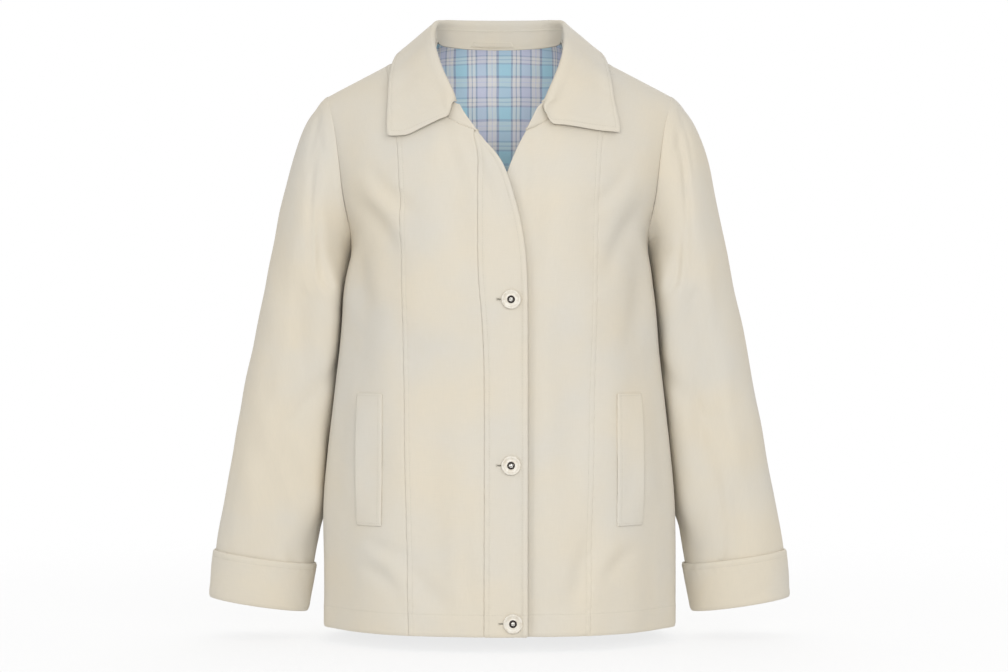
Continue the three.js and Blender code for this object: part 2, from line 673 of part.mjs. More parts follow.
// The neck seam seen flat, at a station counted from the centre back.
function neckPlace(side, station) {
  if (station <= NECK_POINT_STATION) {
    const x = readRows(COLLAR_ROWS[side], 'neckX', station);
    return { x, z: backNeckZ(x) };
  }
  const front = COLLAR_ROWS[side].slice(NECK_POINT_STATION);
  const along = station - NECK_POINT_STATION;
  return { x: readRows(front, 'neckX', along), z: readRows(front, 'neckZ', along) };
}

// A place on the body's surface at a flat place, moved out by a standoff.
function onBody(x, z, face, standoff) {
  if (face === 'ridge') return new THREE.Vector3(x, MID_Y, z + standoff);
  const back = face === 'back';
  const height = Math.min(heightAt(x, z), ridgeHeight(back));
  const angle = angleAt(height, x, back);
  return bodyPoint(height, angle, back).addScaledVector(bodyNormal(height, angle, back), standoff);
}

// Level of the body's surface above a place near the shoulder ridge; far below it elsewhere.
function bodyTopZ(x, y) {
  const back = y > MID_Y;
  const reach = Math.abs(y - MID_Y);
  if (reach > SHOULDER_FLAT) return -Infinity;
  return bisect((z) => {
    const height = heightAt(x, z);
    return Math.abs(bodyPoint(height, angleAt(height, x, back), back).y - MID_Y) > reach;
  }, UNDERARM_Z, ridgeZ(x) - 0.001);
}

// Neck seam, roll and free edge of the collar at a station, counted from the centre back.
function collarStation(side, station) {
  const rows = COLLAR_ROWS[side];
  const { x, z } = neckPlace(side, station);
  const face = station < NECK_POINT_STATION ? 'back' : 'front';
  const neck = onBody(x, Math.min(z, ridgeZ(x) - 0.001), face, 0);
  const roll = new THREE.Vector3(
    readRows(rows, 'rollX', station), readRows(rows, 'rollY', station), readRows(rows, 'rollZ', station));
  const edges = rows.map((row) => onBody(row.edgeX, row.edgeZ, row.face, LEAF_STANDOFF + SHELL));
  const edge = new THREE.Vector3(
    readRows(edges, 'x', station), readRows(edges, 'y', station), readRows(edges, 'z', station));
  edge.z = Math.max(edge.z, bodyTopZ(edge.x, edge.y) + LEAF_STANDOFF + SHELL);
  return { neck, roll, edge };
}

// Stations at the points of the neck seam, so that stand and body share them.
function standStations(side) {
  const backStations = Array.from({ length: NECK_COLUMNS }, (_, column) => {
    const height = backTop(column);
    const { x } = bodyPoint(height, backAngle(height, column), true);
    return bisect((station) => neckPlace(side, station).x < x, 0, NECK_POINT_STATION);
  });
  const edgeRows = side === 'left' ? LEFT_EDGE_ROWS : PLACKET_SEAM_ROWS;
  const corner = edgeRows[edgeRows.length - 1];
  const cornerHeight = heightAt(corner.x, corner.z);
  const neckHeight = (station) => {
    const { x, z } = neckPlace(side, station);
    return heightAt(x, z);
  };
  const frontStations = frontHeights(edgeRows)
    .filter((height) => height >= cornerHeight && height < ridgeHeight(false))
    .map((height) => bisect((station) => neckHeight(station) > height, NECK_POINT_STATION, STAND_END))
    .reverse();
  const tab = side === 'left' ? [] : [STAND_END];
  return [...backStations, NECK_POINT_STATION, ...frontStations, ...tab];
}

// Unit vector from the neck out through the stand.
function standOutward(side, station) {
  const small = 0.05;
  const low = collarStation(side, Math.max(station - small, 0));
  const high = collarStation(side, Math.min(station + small, STAND_END));
  const along = high.roll.clone().sub(low.roll);
  if (station < small) along.set(1, 0, 0);
  const { neck, roll } = collarStation(side, station);
  const outward = new THREE.Vector3().crossVectors(along, roll.clone().sub(neck)).normalize();
  const away = new THREE.Vector3(roll.x, roll.y, 0);
  return outward.dot(away) < 0 ? outward.negate() : outward;
}

// The leaf is sewn lower on the stand at the back than at the front, where the stand's tab is whole.
function standShare(station) {
  const towardsTab = clamp((station - LEAF_END + 1.5) / 2.5, 0, 1);
  return lerp(STAND_SHARE, 1, towardsTab * towardsTab);
}

function standRow(side, station) {
  const { neck, roll } = collarStation(side, station);
  const outward = standOutward(side, station);
  const top = neck.clone().lerp(roll, standShare(station));
  const bottom = neck.clone().lerp(top, NECK_GAP / neck.distanceTo(top));
  return steps(3).map((share) => place(
    bottom.clone().lerp(top, share), outward.clone().multiplyScalar(-SHELL)));
}

function leafRow(side, station) {
  const { neck, roll, edge } = collarStation(side, station);
  const outward = standOutward(side, station);
  const seam = neck.clone().lerp(roll, standShare(station));
  const riserStart = seam.clone().lerp(roll, NECK_GAP / seam.distanceTo(roll))
    .addScaledVector(outward, -SHELL);
  const riserTop = roll.clone().addScaledVector(outward, -SHELL).lerp(riserStart, ROLL_TOP);
  const rollTop = roll.clone().addScaledVector(outward, ROLL_WIDTH * ROLL_TOP);
  const fallStart = roll.clone().lerp(neck, FALL_START).addScaledVector(outward, ROLL_WIDTH);
  const control = fallStart.clone().lerp(edge, 0.35).addScaledVector(outward, LEAF_BULGE);
  control.z -= LEAF_SAG;
  const fall = new THREE.QuadraticBezierCurve3(fallStart, control, edge)
    .getPoints(LEAF_FRONT[side].length + 1);
  const bend = THREE.MathUtils.smoothstep(station, LEAF_END - LEAF_FRONT_REACH, LEAF_END);
  LEAF_FRONT[side].forEach(({ x, z, lift }, index) => {
    fall[index + 1].lerp(onBody(x, z, 'front', LEAF_STANDOFF + SHELL + lift), bend);
  });
  return [riserStart, riserTop, rollTop, ...fall];
}

// Gives each point of an open sheet its inward way, from the sheet's own slopes.
function thicken(points, wall, faceAway) {
  const last = points.length - 1;
  return points.map((row, i) => row.map((point, j) => {
    const along = points[Math.min(i + 1, last)][j].clone().sub(points[Math.max(i - 1, 0)][j]);
    const across = row[Math.min(j + 1, row.length - 1)].clone().sub(row[Math.max(j - 1, 0)]);
    const normal = new THREE.Vector3().crossVectors(along, across).normalize();
    return place(point, normal.multiplyScalar(faceAway ? wall : -wall));
  }));
}

// Rows for both halves of the collar, from the right front round the back to the left front.
function collarRows(makeRow, stations, mirrorRow) {
  const right = stations('right').map((station) => mirrorRow(makeRow('right', station)));
  const left = stations('left').slice(1).map((station) => makeRow('left', station));
  return [...right.reverse(), ...left];
}

function standGrid() {
  return collarRows(standRow, standStations, (row) => mirrorGrid([row], -1)[0]);
}

function leafGrid() {
  const stations = (side) => [
    ...standStations(side).filter((station) => station < LEAF_END - 0.1),
    LEAF_END,
  ];
  const points = collarRows(leafRow, stations, (row) => row.map((point) => mirrored(point, -1)));
  const grid = thicken(points, SHELL, true);
  const seamWay = (side, station) => standOutward(side, station).multiplyScalar(SHELL);
  const seamWays = collarRows(seamWay, stations, (way) => mirrored(way, -1));
  grid.forEach((row, index) => {
    for (const column of [0, 1]) row[column] = place(row[column].outer, seamWays[index]);
  });
  return grid;
}

// ------------------------------------------------------------------ pieces that lie on panels

// A flat piece on a front, given by its corners, on the wearer's left; mirrored for the right.
function pocketWeltGrid() {
  return steps(8).map((up) => steps(3).map((across) => {
    const x = lerp(POCKET.innerX, POCKET.outerX, across);
    const z = lerp(POCKET.bottomZ, POCKET.topZ, up);
    const height = heightAt(x, z);
    const angle = angleAt(height, x, false);
    const normal = bodyNormal(height, angle, false);
    const outer = bodyPoint(height, angle, false).addScaledVector(normal, LAY_GAP + POCKET.wall);
    return place(outer, normal.multiplyScalar(-POCKET.wall));
  }));
}

// A flat loop sewn into the back neck seam and lying against the stand.
function hangerLoopGrid() {
  const half = LOOP.length / 2;
  return steps(8).map((across) => steps(1).map((up) => {
    const reach = lerp(-1, 1, across) * (half - up * LOOP.slant);
    const x = LOOP.middleX + reach;
    const station = bisect((value) => readRows(COLLAR_ROWS.right, 'neckX', value) < Math.abs(x), 0, 3);
    const { neck, roll } = collarStation('right', station);
    const outward = standOutward('right', station);
    const rise = (0.9 + up * LOOP.height) / neck.distanceTo(roll);
    const point = neck.lerp(roll, rise).addScaledVector(outward, -SHELL - LOOP.gap - LOOP.wall);
    return place(mirrored(point, Math.sign(x)), mirrored(outward, Math.sign(x)).multiplyScalar(LOOP.wall));
  }));
}

function buttonGeometry() {
  const profile = [
    [0, 0], [BUTTON_RADIUS - 1.2, 0], [BUTTON_RADIUS, 1], [BUTTON_RADIUS, BUTTON_HEIGHT - 1],
    [BUTTON_RADIUS - 1.2, BUTTON_HEIGHT], [BUTTON_RADIUS - 3, BUTTON_HEIGHT - 0.7],
    [4.2, BUTTON_HEIGHT - 0.9], [3.4, BUTTON_HEIGHT - 0.1], [2.2, BUTTON_HEIGHT - 0.9],
    [0, BUTTON_HEIGHT - 0.9],
  ];
  const geometry = new THREE.LatheGeometry(profile.map(([r, h]) => new THREE.Vector2(r, h)), 20);
  return geometry;
}

// ------------------------------------------------------------------ materials and assembly

const cloth = new THREE.MeshStandardMaterial({ color: 0xdcd5c3, roughness: 0.86, metalness: 0 });
const check = new THREE.MeshStandardMaterial({ color: 0x9db3d6, roughness: 0.8, metalness: 0 });
const horn = new THREE.MeshStandardMaterial({ color: 0xe8e2d4, roughness: 0.45, metalness: 0 });

const coat = new THREE.Group();

function add(name, geometry, material) {
  const mesh = new THREE.Mesh(geometry, material);
  mesh.name = name;
  coat.add(mesh);
  return mesh;
}

const SIDES = [{ side: 'right', sign: -1 }, { side: 'left', sign: 1 }];
for (const { side, sign } of SIDES) {
  const columns = side === 'left' ? 6 : 5;
  add(`front_centre_${side}`, wallGeometry(mirrorGrid(frontCentreGrid(side, columns), sign)), cloth);
  add(`front_side_${side}`, wallGeometry(mirrorGrid(frontSideGrid(side), sign)), cloth);
  add(`sleeve_${side}`, wallGeometry(mirrorGrid(sleeveGrid(), sign), true), cloth);
  add(`cuff_${side}`, wallGeometry(mirrorGrid(cuffGrid(), sign), true), cloth);
  add(`pocket_welt_${side}`, wallGeometry(mirrorGrid(pocketWeltGrid(), sign)), cloth);
}
add('placket_right', wallGeometry(mirrorGrid(placketGrid(), -1)), cloth);
add('back', wallGeometry(withMirrorImage(backHalf())), cloth);
add('lining_back', wallGeometry(liningGrid()), check);
add('collar_stand', wallGeometry(standGrid()), cloth);
add('collar_leaf', wallGeometry(leafGrid()), cloth);
add('hanger_loop', wallGeometry(hangerLoopGrid()), cloth);

for (const { name, x, z } of BUTTONS) {
  const height = heightAt(x, z);
  const angle = angleAt(height, x, false);
  const normal = bodyNormal(height, angle, false);
  const button = add(name, buttonGeometry(), horn);
  button.position.copy(bodyPoint(height, angle, false).addScaledVector(normal, LAY_GAP));
  button.quaternion.setFromUnitVectors(new THREE.Vector3(0, 1, 0), normal);
}

export default coat;
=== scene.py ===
"""A hip-length buttoned coat: cloth panels with their seams and creases, collar, sleeves,
turned-back cuffs, check lining, stitching and buttons."""

import math

import bpy
import numpy as np
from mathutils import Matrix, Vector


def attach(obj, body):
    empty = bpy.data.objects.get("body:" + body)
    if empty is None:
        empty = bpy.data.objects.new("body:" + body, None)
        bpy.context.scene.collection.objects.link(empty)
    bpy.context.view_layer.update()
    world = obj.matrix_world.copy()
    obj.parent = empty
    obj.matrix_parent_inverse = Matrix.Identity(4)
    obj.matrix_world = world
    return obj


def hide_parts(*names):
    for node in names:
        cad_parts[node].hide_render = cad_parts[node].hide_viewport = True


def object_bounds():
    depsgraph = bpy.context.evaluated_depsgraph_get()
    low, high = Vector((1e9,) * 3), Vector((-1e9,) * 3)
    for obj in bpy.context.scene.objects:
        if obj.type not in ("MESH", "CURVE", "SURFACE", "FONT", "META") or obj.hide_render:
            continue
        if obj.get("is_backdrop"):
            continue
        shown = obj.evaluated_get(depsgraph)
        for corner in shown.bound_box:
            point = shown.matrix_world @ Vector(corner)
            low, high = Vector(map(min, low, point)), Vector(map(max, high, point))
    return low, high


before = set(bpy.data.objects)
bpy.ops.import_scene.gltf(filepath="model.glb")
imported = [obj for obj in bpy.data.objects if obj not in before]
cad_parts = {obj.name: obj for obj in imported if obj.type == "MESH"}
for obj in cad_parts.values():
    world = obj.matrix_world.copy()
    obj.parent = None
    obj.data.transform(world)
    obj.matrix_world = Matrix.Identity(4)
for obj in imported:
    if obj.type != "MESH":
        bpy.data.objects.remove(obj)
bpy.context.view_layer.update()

bl_info = {
    "name": "Mid-length coat",
    "version": (1, 0, 0),
    "blender": (4, 5, 0),
    "location": "View3D > Sidebar > Coat",
    "description": "Builds a buttoned coat from its cut pieces, with lining, stitching and buttons",
    "category": "Object",
}

MM = 0.001
BODY = "root"

# ---------------------------------------------------------------- sizes, millimetres
# +X is the wearer's left and the front faces -Y, as in the frame.

HEM_Z = -698.0
UNDERARM_Z = -248.0
NECK_POINT_X = 76.0
SHOULDER_POINT_X = 208.0
SHOULDER_SLOPE = 69 / (SHOULDER_POINT_X - NECK_POINT_X)
MID_Y = 5.0
SQUARENESS = 2.3
FRONT_ROUND = 2
BACK_ROUND = 3
ARMHOLE_HALF_DEPTH = 60.0
ARMHOLE_GAP = 0.45
UNDERLAP = 3.5
CUFF_DEPTH = 55.0
NECK_POINT_STATION = 3
LEAF_END = 7
STAND_END = 8
STAND_SHARE = 0.63
LEAF_STANDOFF = 2.6
ROLL_WIDTH = 5.5
SHOULDER_FLAT = 62.0
FOLD_FADE = 28.0
SHELL_WALL = 1.6
SLEEVE_PRESS = 1.2
SLEEVE_CONTACT_Y = 22
SLEEVE_CONTACT_REACH = 34
SLEEVE_INNER_SQUARENESS = 6
SLEEVE_FLAT_LEVELS = (-252, -300, -540, -620)  # the inner side flattens, and is round again
SLEEVE_LEAN_LEVELS = (-236, -254, -540, -590)  # the inner side leans, and hangs free again
ALLOWANCE_ROWS = [(2.4, 0.8), (0.5, 0.25)]  # reach inside the armhole and depth below the cloth
TOPSTITCH = 5.8
HEM_STITCHES = 25
CUFF_STITCHES = 6.5
PLACKET_STITCHES = 6.0
POCKET_STITCHES = 5.2
POCKET_END_STITCHES = 2.6
PUCKER_SCALE = 1.7
# Height in millimetres and reach of soft swells and hollows.
SIDE_CORNER_SWELL = (6.0, 19.0)
SIDE_CORNER_AT = 46.0
UNDERLAP_HOLLOW = (2.4, 4.2)
PLACKET_EDGE_LIFT = (3.2, 7.5)
BUTTON_HOLLOW = (0.5, 13)
LEAF_EDGE_LIFT = (3.6, 17)
LEAF_END_LIFT = (2.4, 22)
SLEEVE_HEAD_SWELL = (1.1, 8)
SLEEVE_HEAD_AT = 9
FRONT_CREASE_SCALE = 1.5
SLEEVE_FOLD_SCALE = 0.65


def table(columns, rows):
    """Named columns from rows of numbers."""
    return dict(zip(columns.split(), np.array(rows, float).T))


BODY_ROWS = table("z half_width front back", [
    (-698, 207, 153, 130),
    (-625, 207, 151, 127),
    (-552, 207, 148, 122),
    (-492, 202, 145, 114),
    (-432, 196, 142, 104),
    (-372, 189, 142, 101),
    (-312, 183, 144.5, 107),
    (-280, 179.5, 144, 110.5),
    (-248, 177, 143, 112),
])
ARMHOLE_ROWS = table("rise x", [
    (0, 177), (0.07, 176), (0.16, 179.5), (0.31, 184.5),
    (0.52, 189), (0.76, 195.5), (0.93, 204), (1, SHOULDER_POINT_X),
])
PRINCESS_ROWS = table("z x", [(-698, 104), (-425, 110), (-256, 114), (-130, 119), (-31, 135)])
PLACKET_SEAM_ROWS = table("z x", [
    (-698, 17.4), (-400, 17.4), (-335, 20), (-275, 24.5), (-117, 24.5),
])
RIGHT_EDGE_ROWS = table("z x", [
    (-698, -31.6), (-314, -31.6), (-257, -29.3), (-225, -24.8),
    (-200, -18), (-167, -7.6), (-143, 4), (-118, 21),
])
LEFT_EDGE_ROWS = table("z x", [
    (-698, -16), (-314, -16), (-225, -10), (-167, 8.8), (-137, 21), (-116, 32),
])
COLLAR_ROWS = table("neck_x neck_z roll_x roll_y roll_z edge_x edge_z face", [
    (0, -2, 0, 79, 34, 0, -22, 1),
    (38, -1.3, 38, 73, 33.5, 54, -24, 1),
    (63, -0.4, 64, 54, 31.5, 100, -27, 1),
    (76, 0, 77, 12, 23, 123, -20, 0),
    (78.5, -25, 77, -56, -5, 126, -53, -1),
    (76.5, -50, 69, -86, -34, 127, -84, -1),
    (68, -84, 55, -106, -66, 127.5, -107, -1),
    (54, -104, 46, -113, -83, 126, -125, -1),
    (21, -118, 42, -116, -89, 126, -125, -1),
])
LEFT_ROLL_SPREAD = np.array([0, 0, 0, 0, 0, 2, 3, 5, 8], float)
LEFT_EDGE_SPREAD = np.array([0, 0, 0, 0, 1, 4.5, 8, 10, 10])
LEFT_POINT_Z = -121
# Lower edge of the leaf's front end, from the corner beside the roll to the point, and its lift.
LEAF_FRONT = {
    "right": [(53.8, -102, 3), (68, -108, 2), (87, -116, 1), (108, -124, 0)],
    "left": [(59.3, -112, 3), (74, -113.5, 2), (92, -115.5, 1), (112, -118, 0)],
}
LEAF_FRONT_REACH = 1.6
SLEEVE_ROWS = table("outer_x outer_z inner_x inner_z half_depth mid_y", [
    (208, -69, 177, -248, 60, 5),
    (232, -99, 181.5, -260, 65, 6),
    (249, -143, 184.5, -279, 69, 9),
    (262, -197, 187, -304, 69, 12),
    (275, -258, 190, -336, 66, 14),
    (289, -327, 194.5, -375, 61, 16),
    (303, -396, 200, -427, 56, 16),
    (317, -470, 206.5, -489, 52, 14),
    (331, -548, 213.5, -563, 47, 12),
    (341, -612, 223.5, -628, 41, 10),
    (346.5, -667, 233, -684, 37, 9),
])
LAST_RING = 10
SLEEVE_ROUND = 60  # millimetres: the sleeve's mean radius, and one ring's length in its folds
NECK_SPREAD = 5.0
OPEN_NECK_EDGE = [(60, -60), (85, -46), (100, -36), (118, -24), (140, -6), (165, 8)]  # depth and x
# Level and reach of the left leaf's front end toward the middle, beside its roll.
LEFT_FRONT_END = [
    (-110, 0), (-106, 1.2), (-103, 2.7), (-99, 4.1), (-96, 6), (-92, 7), (-89, 7), (-86, 5), (-82, 0),
]
LAST_RING_SPACING = 55.3

# Main folds, the same on both sides: from one place to another, width and depth.
FRONT_FOLDS = [
    (172, -205, 118, -285, 15, 3.2),
    (168, -270, 158, -420, 17, 3.4),
    (60, -150, 34, -270, 16, 2.6),
    (88, -380, 82, -660, 24, 2.6),
    (178, -560, 176, -690, 16, 3.4),
]
BACK_FOLDS = [
    (150, -190, 112, -330, 20, 3.6),
    (48, -330, 56, -660, 26, 3.4),
    (128, -400, 134, -680, 22, 4.0),
]
# Turn in degrees from the outer line, positive to the front, and ring.
SLEEVE_FOLDS = [
    (62, 0.6, 120, 3.4, 12, 4.2),
    (96, 4.2, 84, 8.8, 13, 3.6),
    (150, 5.4, 104, 6.6, 11, 3.4),
    (-70, 0.8, -118, 3.6, 14, 4.0),
    (-92, 5.2, -60, 8.6, 15, 3.6),
]

# Small creases of the fronts, x and z signed: from, to, width, depth, bow.
FRONT_CREASES = [
    (-62, -98, -38, -190, 9, 1.1, 4),
    (-44, -120, -8, -206, 8, 1.3, -3),
    (-150, -160, -98, -212, 9, 1.3, 5),
    (-168, -196, -120, -262, 10, 1.6, -5),
    (-168, -238, -150, -330, 11, 1.4, 4),
    (-152, -590, -112, -604, 8, 0.9, 3),
    (-156, -622, -116, -652, 9, 1.1, -4),
    (-106, -608, -58, -668, 12, 1.2, 6),
    (-72, -430, -62, -640, 20, 1.0, 8),
    (-120, -300, -112, -470, 15, 0.9, -6),
    (-40, -560, -30, -690, 9, 0.8, 2),
    (150, -158, 104, -208, 9, 1.1, -5),
    (170, -200, 128, -280, 10, 1.5, 5),
    (166, -260, 148, -372, 12, 1.3, -5),
    (160, -600, 120, -640, 9, 1.0, 4),
    (112, -560, 66, -676, 14, 1.2, -7),
    (74, -330, 62, -560, 21, 1.0, -9),
    (124, -320, 116, -480, 15, 0.8, 6),
    (44, -130, 40, -240, 9, 0.9, 3),
    (98, -600, 90, -694, 10, 0.9, 2),
]
BACK_CREASES = [
    (-150, -150, -96, -230, 11, 1.6, 6),
    (-160, -210, -110, -330, 13, 1.7, -6),
    (-60, -60, -20, -110, 10, 0.9, 4),
    (-90, -420, -76, -660, 18, 1.5, 8),
    (-20, -380, -14, -640, 20, 1.3, -7),
    (-168, -430, -158, -650, 14, 1.5, 5),
    (148, -150, 92, -236, 11, 1.4, -6),
    (158, -224, 104, -322, 13, 1.6, 6),
    (64, -62, 24, -106, 10, 0.8, -4),
    (98, -400, 88, -670, 19, 1.6, -8),
    (36, -470, 30, -690, 17, 1.2, 6),
    (166, -440, 160, -668, 14, 1.4, -5),
    (-40, -290, 30, -318, 15, 0.9, 5),
]
# Turn in degrees, millimetres down the sleeve: from, to, width, depth, bow.
SLEEVE_CREASES = {
    "right": [
        (46, 22, 96, 120, 8, 1.9, 7),
        (30, 14, 60, 62, 6, 1.1, 3),
        (110, 60, 84, 200, 12, 1.6, -7),
        (70, 210, 52, 360, 14, 1.3, 8),
        (128, 240, 92, 312, 15, 0.9, 6),
        (140, 300, 104, 390, 15, 0.8, -8),
        (104, 380, 80, 520, 11, 1.4, 5),
        (40, 400, 34, 540, 12, 0.9, -4),
        (-60, 60, -104, 180, 12, 1.6, 7),
        (-130, 240, -88, 300, 10, 1.7, -5),
        (-120, 320, -80, 400, 11, 1.4, 5),
        (-60, 330, -44, 520, 14, 1.2, -6),
    ],
    "left": [
        (50, 20, 100, 128, 8, 1.8, 7),
        (26, 12, 58, 70, 6, 1.0, 4),
        (104, 70, 90, 210, 12, 1.5, -6),
        (112, 236, 108, 340, 7, 2.0, 4),
        (108, 330, 104, 450, 7, 2.1, -5),
        (106, 440, 110, 500, 7, 1.7, 3),
        (134, 262, 98, 330, 14, 0.8, 6),
        (56, 300, 46, 480, 14, 1.1, 6),
        (-56, 70, -100, 190, 12, 1.5, 6),
        (-126, 250, -84, 312, 10, 1.6, -5),
        (-118, 330, -82, 410, 11, 1.3, 5),
        (-64, 340, -50, 530, 14, 1.1, -6),
    ],
}

# Millimetres along the collar from the right front, and across it from the stand seam.
LEAF_CREASES = [
    (34, 24, 60, 44, 5, 1.1, 3),
    (16, 40, 40, 60, 8, 0.8, -3),
    (120, 30, 132, 70, 10, 0.8, 4),
]

POCKET = {"inner_x": 136, "outer_x": 165, "bottom_z": -574, "top_z": -422, "wall": 1.8, "gape": 3.2}
BUTTON_PLACES = {"button_top": (13.4, -313), "button_middle": (13.4, -503), "button_bottom": (15.6, -683)}
BUTTONHOLE = {"far": 16.0, "near": 6.0, "bar": 16.4, "bar_half": 1.5}  # from the button's middle
LOOP = {"middle_x": -9, "length": 55, "height": 7, "slant": 5}
LINING_HEM_Z = -672.0


# ---------------------------------------------------------------- settings

def colour(name, description, value):
    return bpy.props.FloatVectorProperty(
        name=name, description=description, default=value, size=4, subtype="COLOR", min=0, max=1)


def length(name, description, value):
    return bpy.props.FloatProperty(
        name=name, description=description, default=value, unit="LENGTH", min=0)


class CoatCloth(bpy.types.PropertyGroup):
    """The outer cloth."""
    colour: colour("Colour", "Colour of the outer cloth", (0.655, 0.612, 0.522, 1))
    wall: length("Thickness", "Thickness of the outer cloth with its interlining", 0.0014)
    unevenness: length("Unevenness", "Height of the cloth's soft, irregular waves", 0.0007)
    weave: length("Weave", "Distance between two threads of the weave", 0.0006)
    creases: bpy.props.FloatProperty(
        name="Creases", description="Depth of the small creases", default=1.3, min=0, max=2)


class CoatStitching(bpy.types.PropertyGroup):
    """The sewing thread."""
    colour: colour("Thread", "Colour of the sewing thread", (0.62, 0.58, 0.49, 1))
    pitch: length("Stitch", "Length of one stitch with its gap", 0.0031)
    thread: length("Thread width", "Width of the sewing thread", 0.00042)


class CoatLining(bpy.types.PropertyGroup):
    """The woven check of the lining."""
    repeat: length("Repeat", "Width of one repeat of the check", 0.055)
    blue: colour("Blue", "The broad blue stripe", (0.52, 0.84, 1.0, 1))
    lilac: colour("Lilac", "The lilac stripe", (0.76, 0.79, 0.98, 1))
    light: colour("Light", "The light stripes", (0.98, 0.97, 0.97, 1))
    line: colour("Line", "The thin dark lines", (0.32, 0.41, 0.61, 1))


class CoatButtons(bpy.types.PropertyGroup):
    """The buttons."""
    diameter: length("Diameter", "Diameter of a button", 0.0226)
    resin: colour("Resin", "Colour of the button", (0.72, 0.68, 0.60, 1))
    metal: colour("Ring", "Colour of the metal ring", (0.035, 0.03, 0.028, 1))


class CoatStage(bpy.types.PropertyGroup):
    """Floor, light and camera."""
    floor: colour("Floor", "Colour of the floor", (0.9, 0.9, 0.9, 1))
    drop: length("Floor drop", "Distance of the floor below the coat", 0.016)
    key: bpy.props.FloatProperty(
        name="Key light", description="Power of the large front light", default=39.5, min=0, unit="POWER")


SETTINGS = (CoatCloth, CoatStitching, CoatLining, CoatButtons, CoatStage)


def settings(kind):
    return getattr(bpy.context.scene, kind)


# ---------------------------------------------------------------- small maths

def read(rows, key, column, at):
    """Smooth curve through one column of a table, read at values of its key column."""
    keys, values = rows[key], rows[column]
    last = len(keys) - 1
    before = np.maximum(np.arange(last + 1) - 1, 0)
    after = np.minimum(np.arange(last + 1) + 1, last)
    slopes = (values[after] - values[before]) / (keys[after] - keys[before])
    at = np.asarray(at, float)
    i = np.clip(np.searchsorted(keys, at, side="left") - 1, 0, last - 1)
    span = keys[i + 1] - keys[i]
    t = np.clip((at - keys[i]) / span, 0, 1)
    rise = 3 * t * t - 2 * t ** 3
    bend = t * (1 - t) * span * ((1 - t) * slopes[i] - t * slopes[i + 1])
    return values[i] + (values[i + 1] - values[i]) * rise + bend


def read_rows(values, place):
    """The same with the row number as key."""
    return read({"n": np.arange(len(values), dtype=float), "v": np.asarray(values, float)}, "n", "v", place)


def bisect(test, low, high):
    """Where test turns from true to false, for arrays of places at once."""
    for _ in range(34):
        middle = (low + high) / 2
        inside = test(middle)
        low = np.where(inside, middle, low)
        high = np.where(inside, high, middle)
    return (low + high) / 2


def unit(vectors):
    return vectors / np.maximum(np.linalg.norm(vectors, axis=-1, keepdims=True), 1e-9)


def mix(a, b, t):
    return a + (b - a) * t


def smooth_step(low, high, value):
    t = np.clip((value - low) / (high - low), 0, 1)
    return t * t * (3 - 2 * t)


def arc(points, axis):
    """Distance along the grid from its first row or column."""
    steps = np.linalg.norm(np.diff(points, axis=axis), axis=-1)
    start = np.zeros_like(np.take(steps, [0], axis=axis))
    return np.concatenate([start, np.cumsum(steps, axis=axis)], axis=axis)


def fold_depth(folds, a, b):
    total = 0
    for from_a, from_b, to_a, to_b, width, depth in folds:
        along_a, along_b = to_a - from_a, to_b - from_b
        t = ((a - from_a) * along_a + (b - from_b) * along_b) / (along_a ** 2 + along_b ** 2)
        t = np.clip(t, 0, 1)
        away = np.hypot(a - from_a - t * along_a, b - from_b - t * along_b) / width
        total = total + depth * np.exp(-away ** 2)
    return total


def crease_height(creases, a, b):
    """Soft troughs, each with a low ridge beside it and ends that run out."""
    total = 0
    for from_a, from_b, to_a, to_b, width, depth, bow in creases:
        span = math.hypot(to_a - from_a, to_b - from_b)
        way_a, way_b = (to_a - from_a) / span, (to_b - from_b) / span
        along = (a - from_a) * way_a + (b - from_b) * way_b
        t = np.clip(along / span, 0, 1)
        away = (a - from_a) * way_b - (b - from_b) * way_a - bow * 4 * t * (1 - t)
        beyond = along - t * span
        fade = np.exp(-(beyond / width) ** 2) * (0.3 + 0.7 * np.sin(math.pi * t) ** 0.8)
        side = math.copysign(1.7, bow)
        trough = np.exp(-(away / width) ** 2)
        ridge = 0.5 * np.exp(-(away / width - side) ** 2)
        total = total - depth * fade * (trough - ridge)
    return total


def waves(u, v, seed, short=34.0, long=120.0):
    """Irregular soft waves of unit height, longer along v than along u."""
    rng = np.random.default_rng(seed)
    total = 0
    count = 18
    for _ in range(count):
        wavelength = rng.uniform(short, long)
        turn = rng.normal(0, 0.7)
        phase = rng.uniform(0, 2 * math.pi)
        reach = (u * math.cos(turn) + 0.55 * v * math.sin(turn)) / wavelength
        total = total + wavelength / long * np.sin(2 * math.pi * reach + phase)
    return total / math.sqrt(count / 2)


# ---------------------------------------------------------------- the coat's surface
# height: 0 hem, 1 underarm, 2 shoulder ridge. angle: 0 centre, a quarter turn at the side.

def ridge_z(x):
    reach = np.abs(x)
    inside = SHOULDER_SLOPE * (NECK_POINT_X ** 2 - reach ** 2) / (2 * NECK_POINT_X)
    return np.where(reach > NECK_POINT_X, -SHOULDER_SLOPE * (reach - NECK_POINT_X), inside)


def rise_of(height):
    return np.sin(np.clip(height - 1, 0, 1) * math.pi / 2)


def height_of_rise(rise):
    return 1 + np.arcsin(np.clip(rise, 0, 1)) * 2 / math.pi


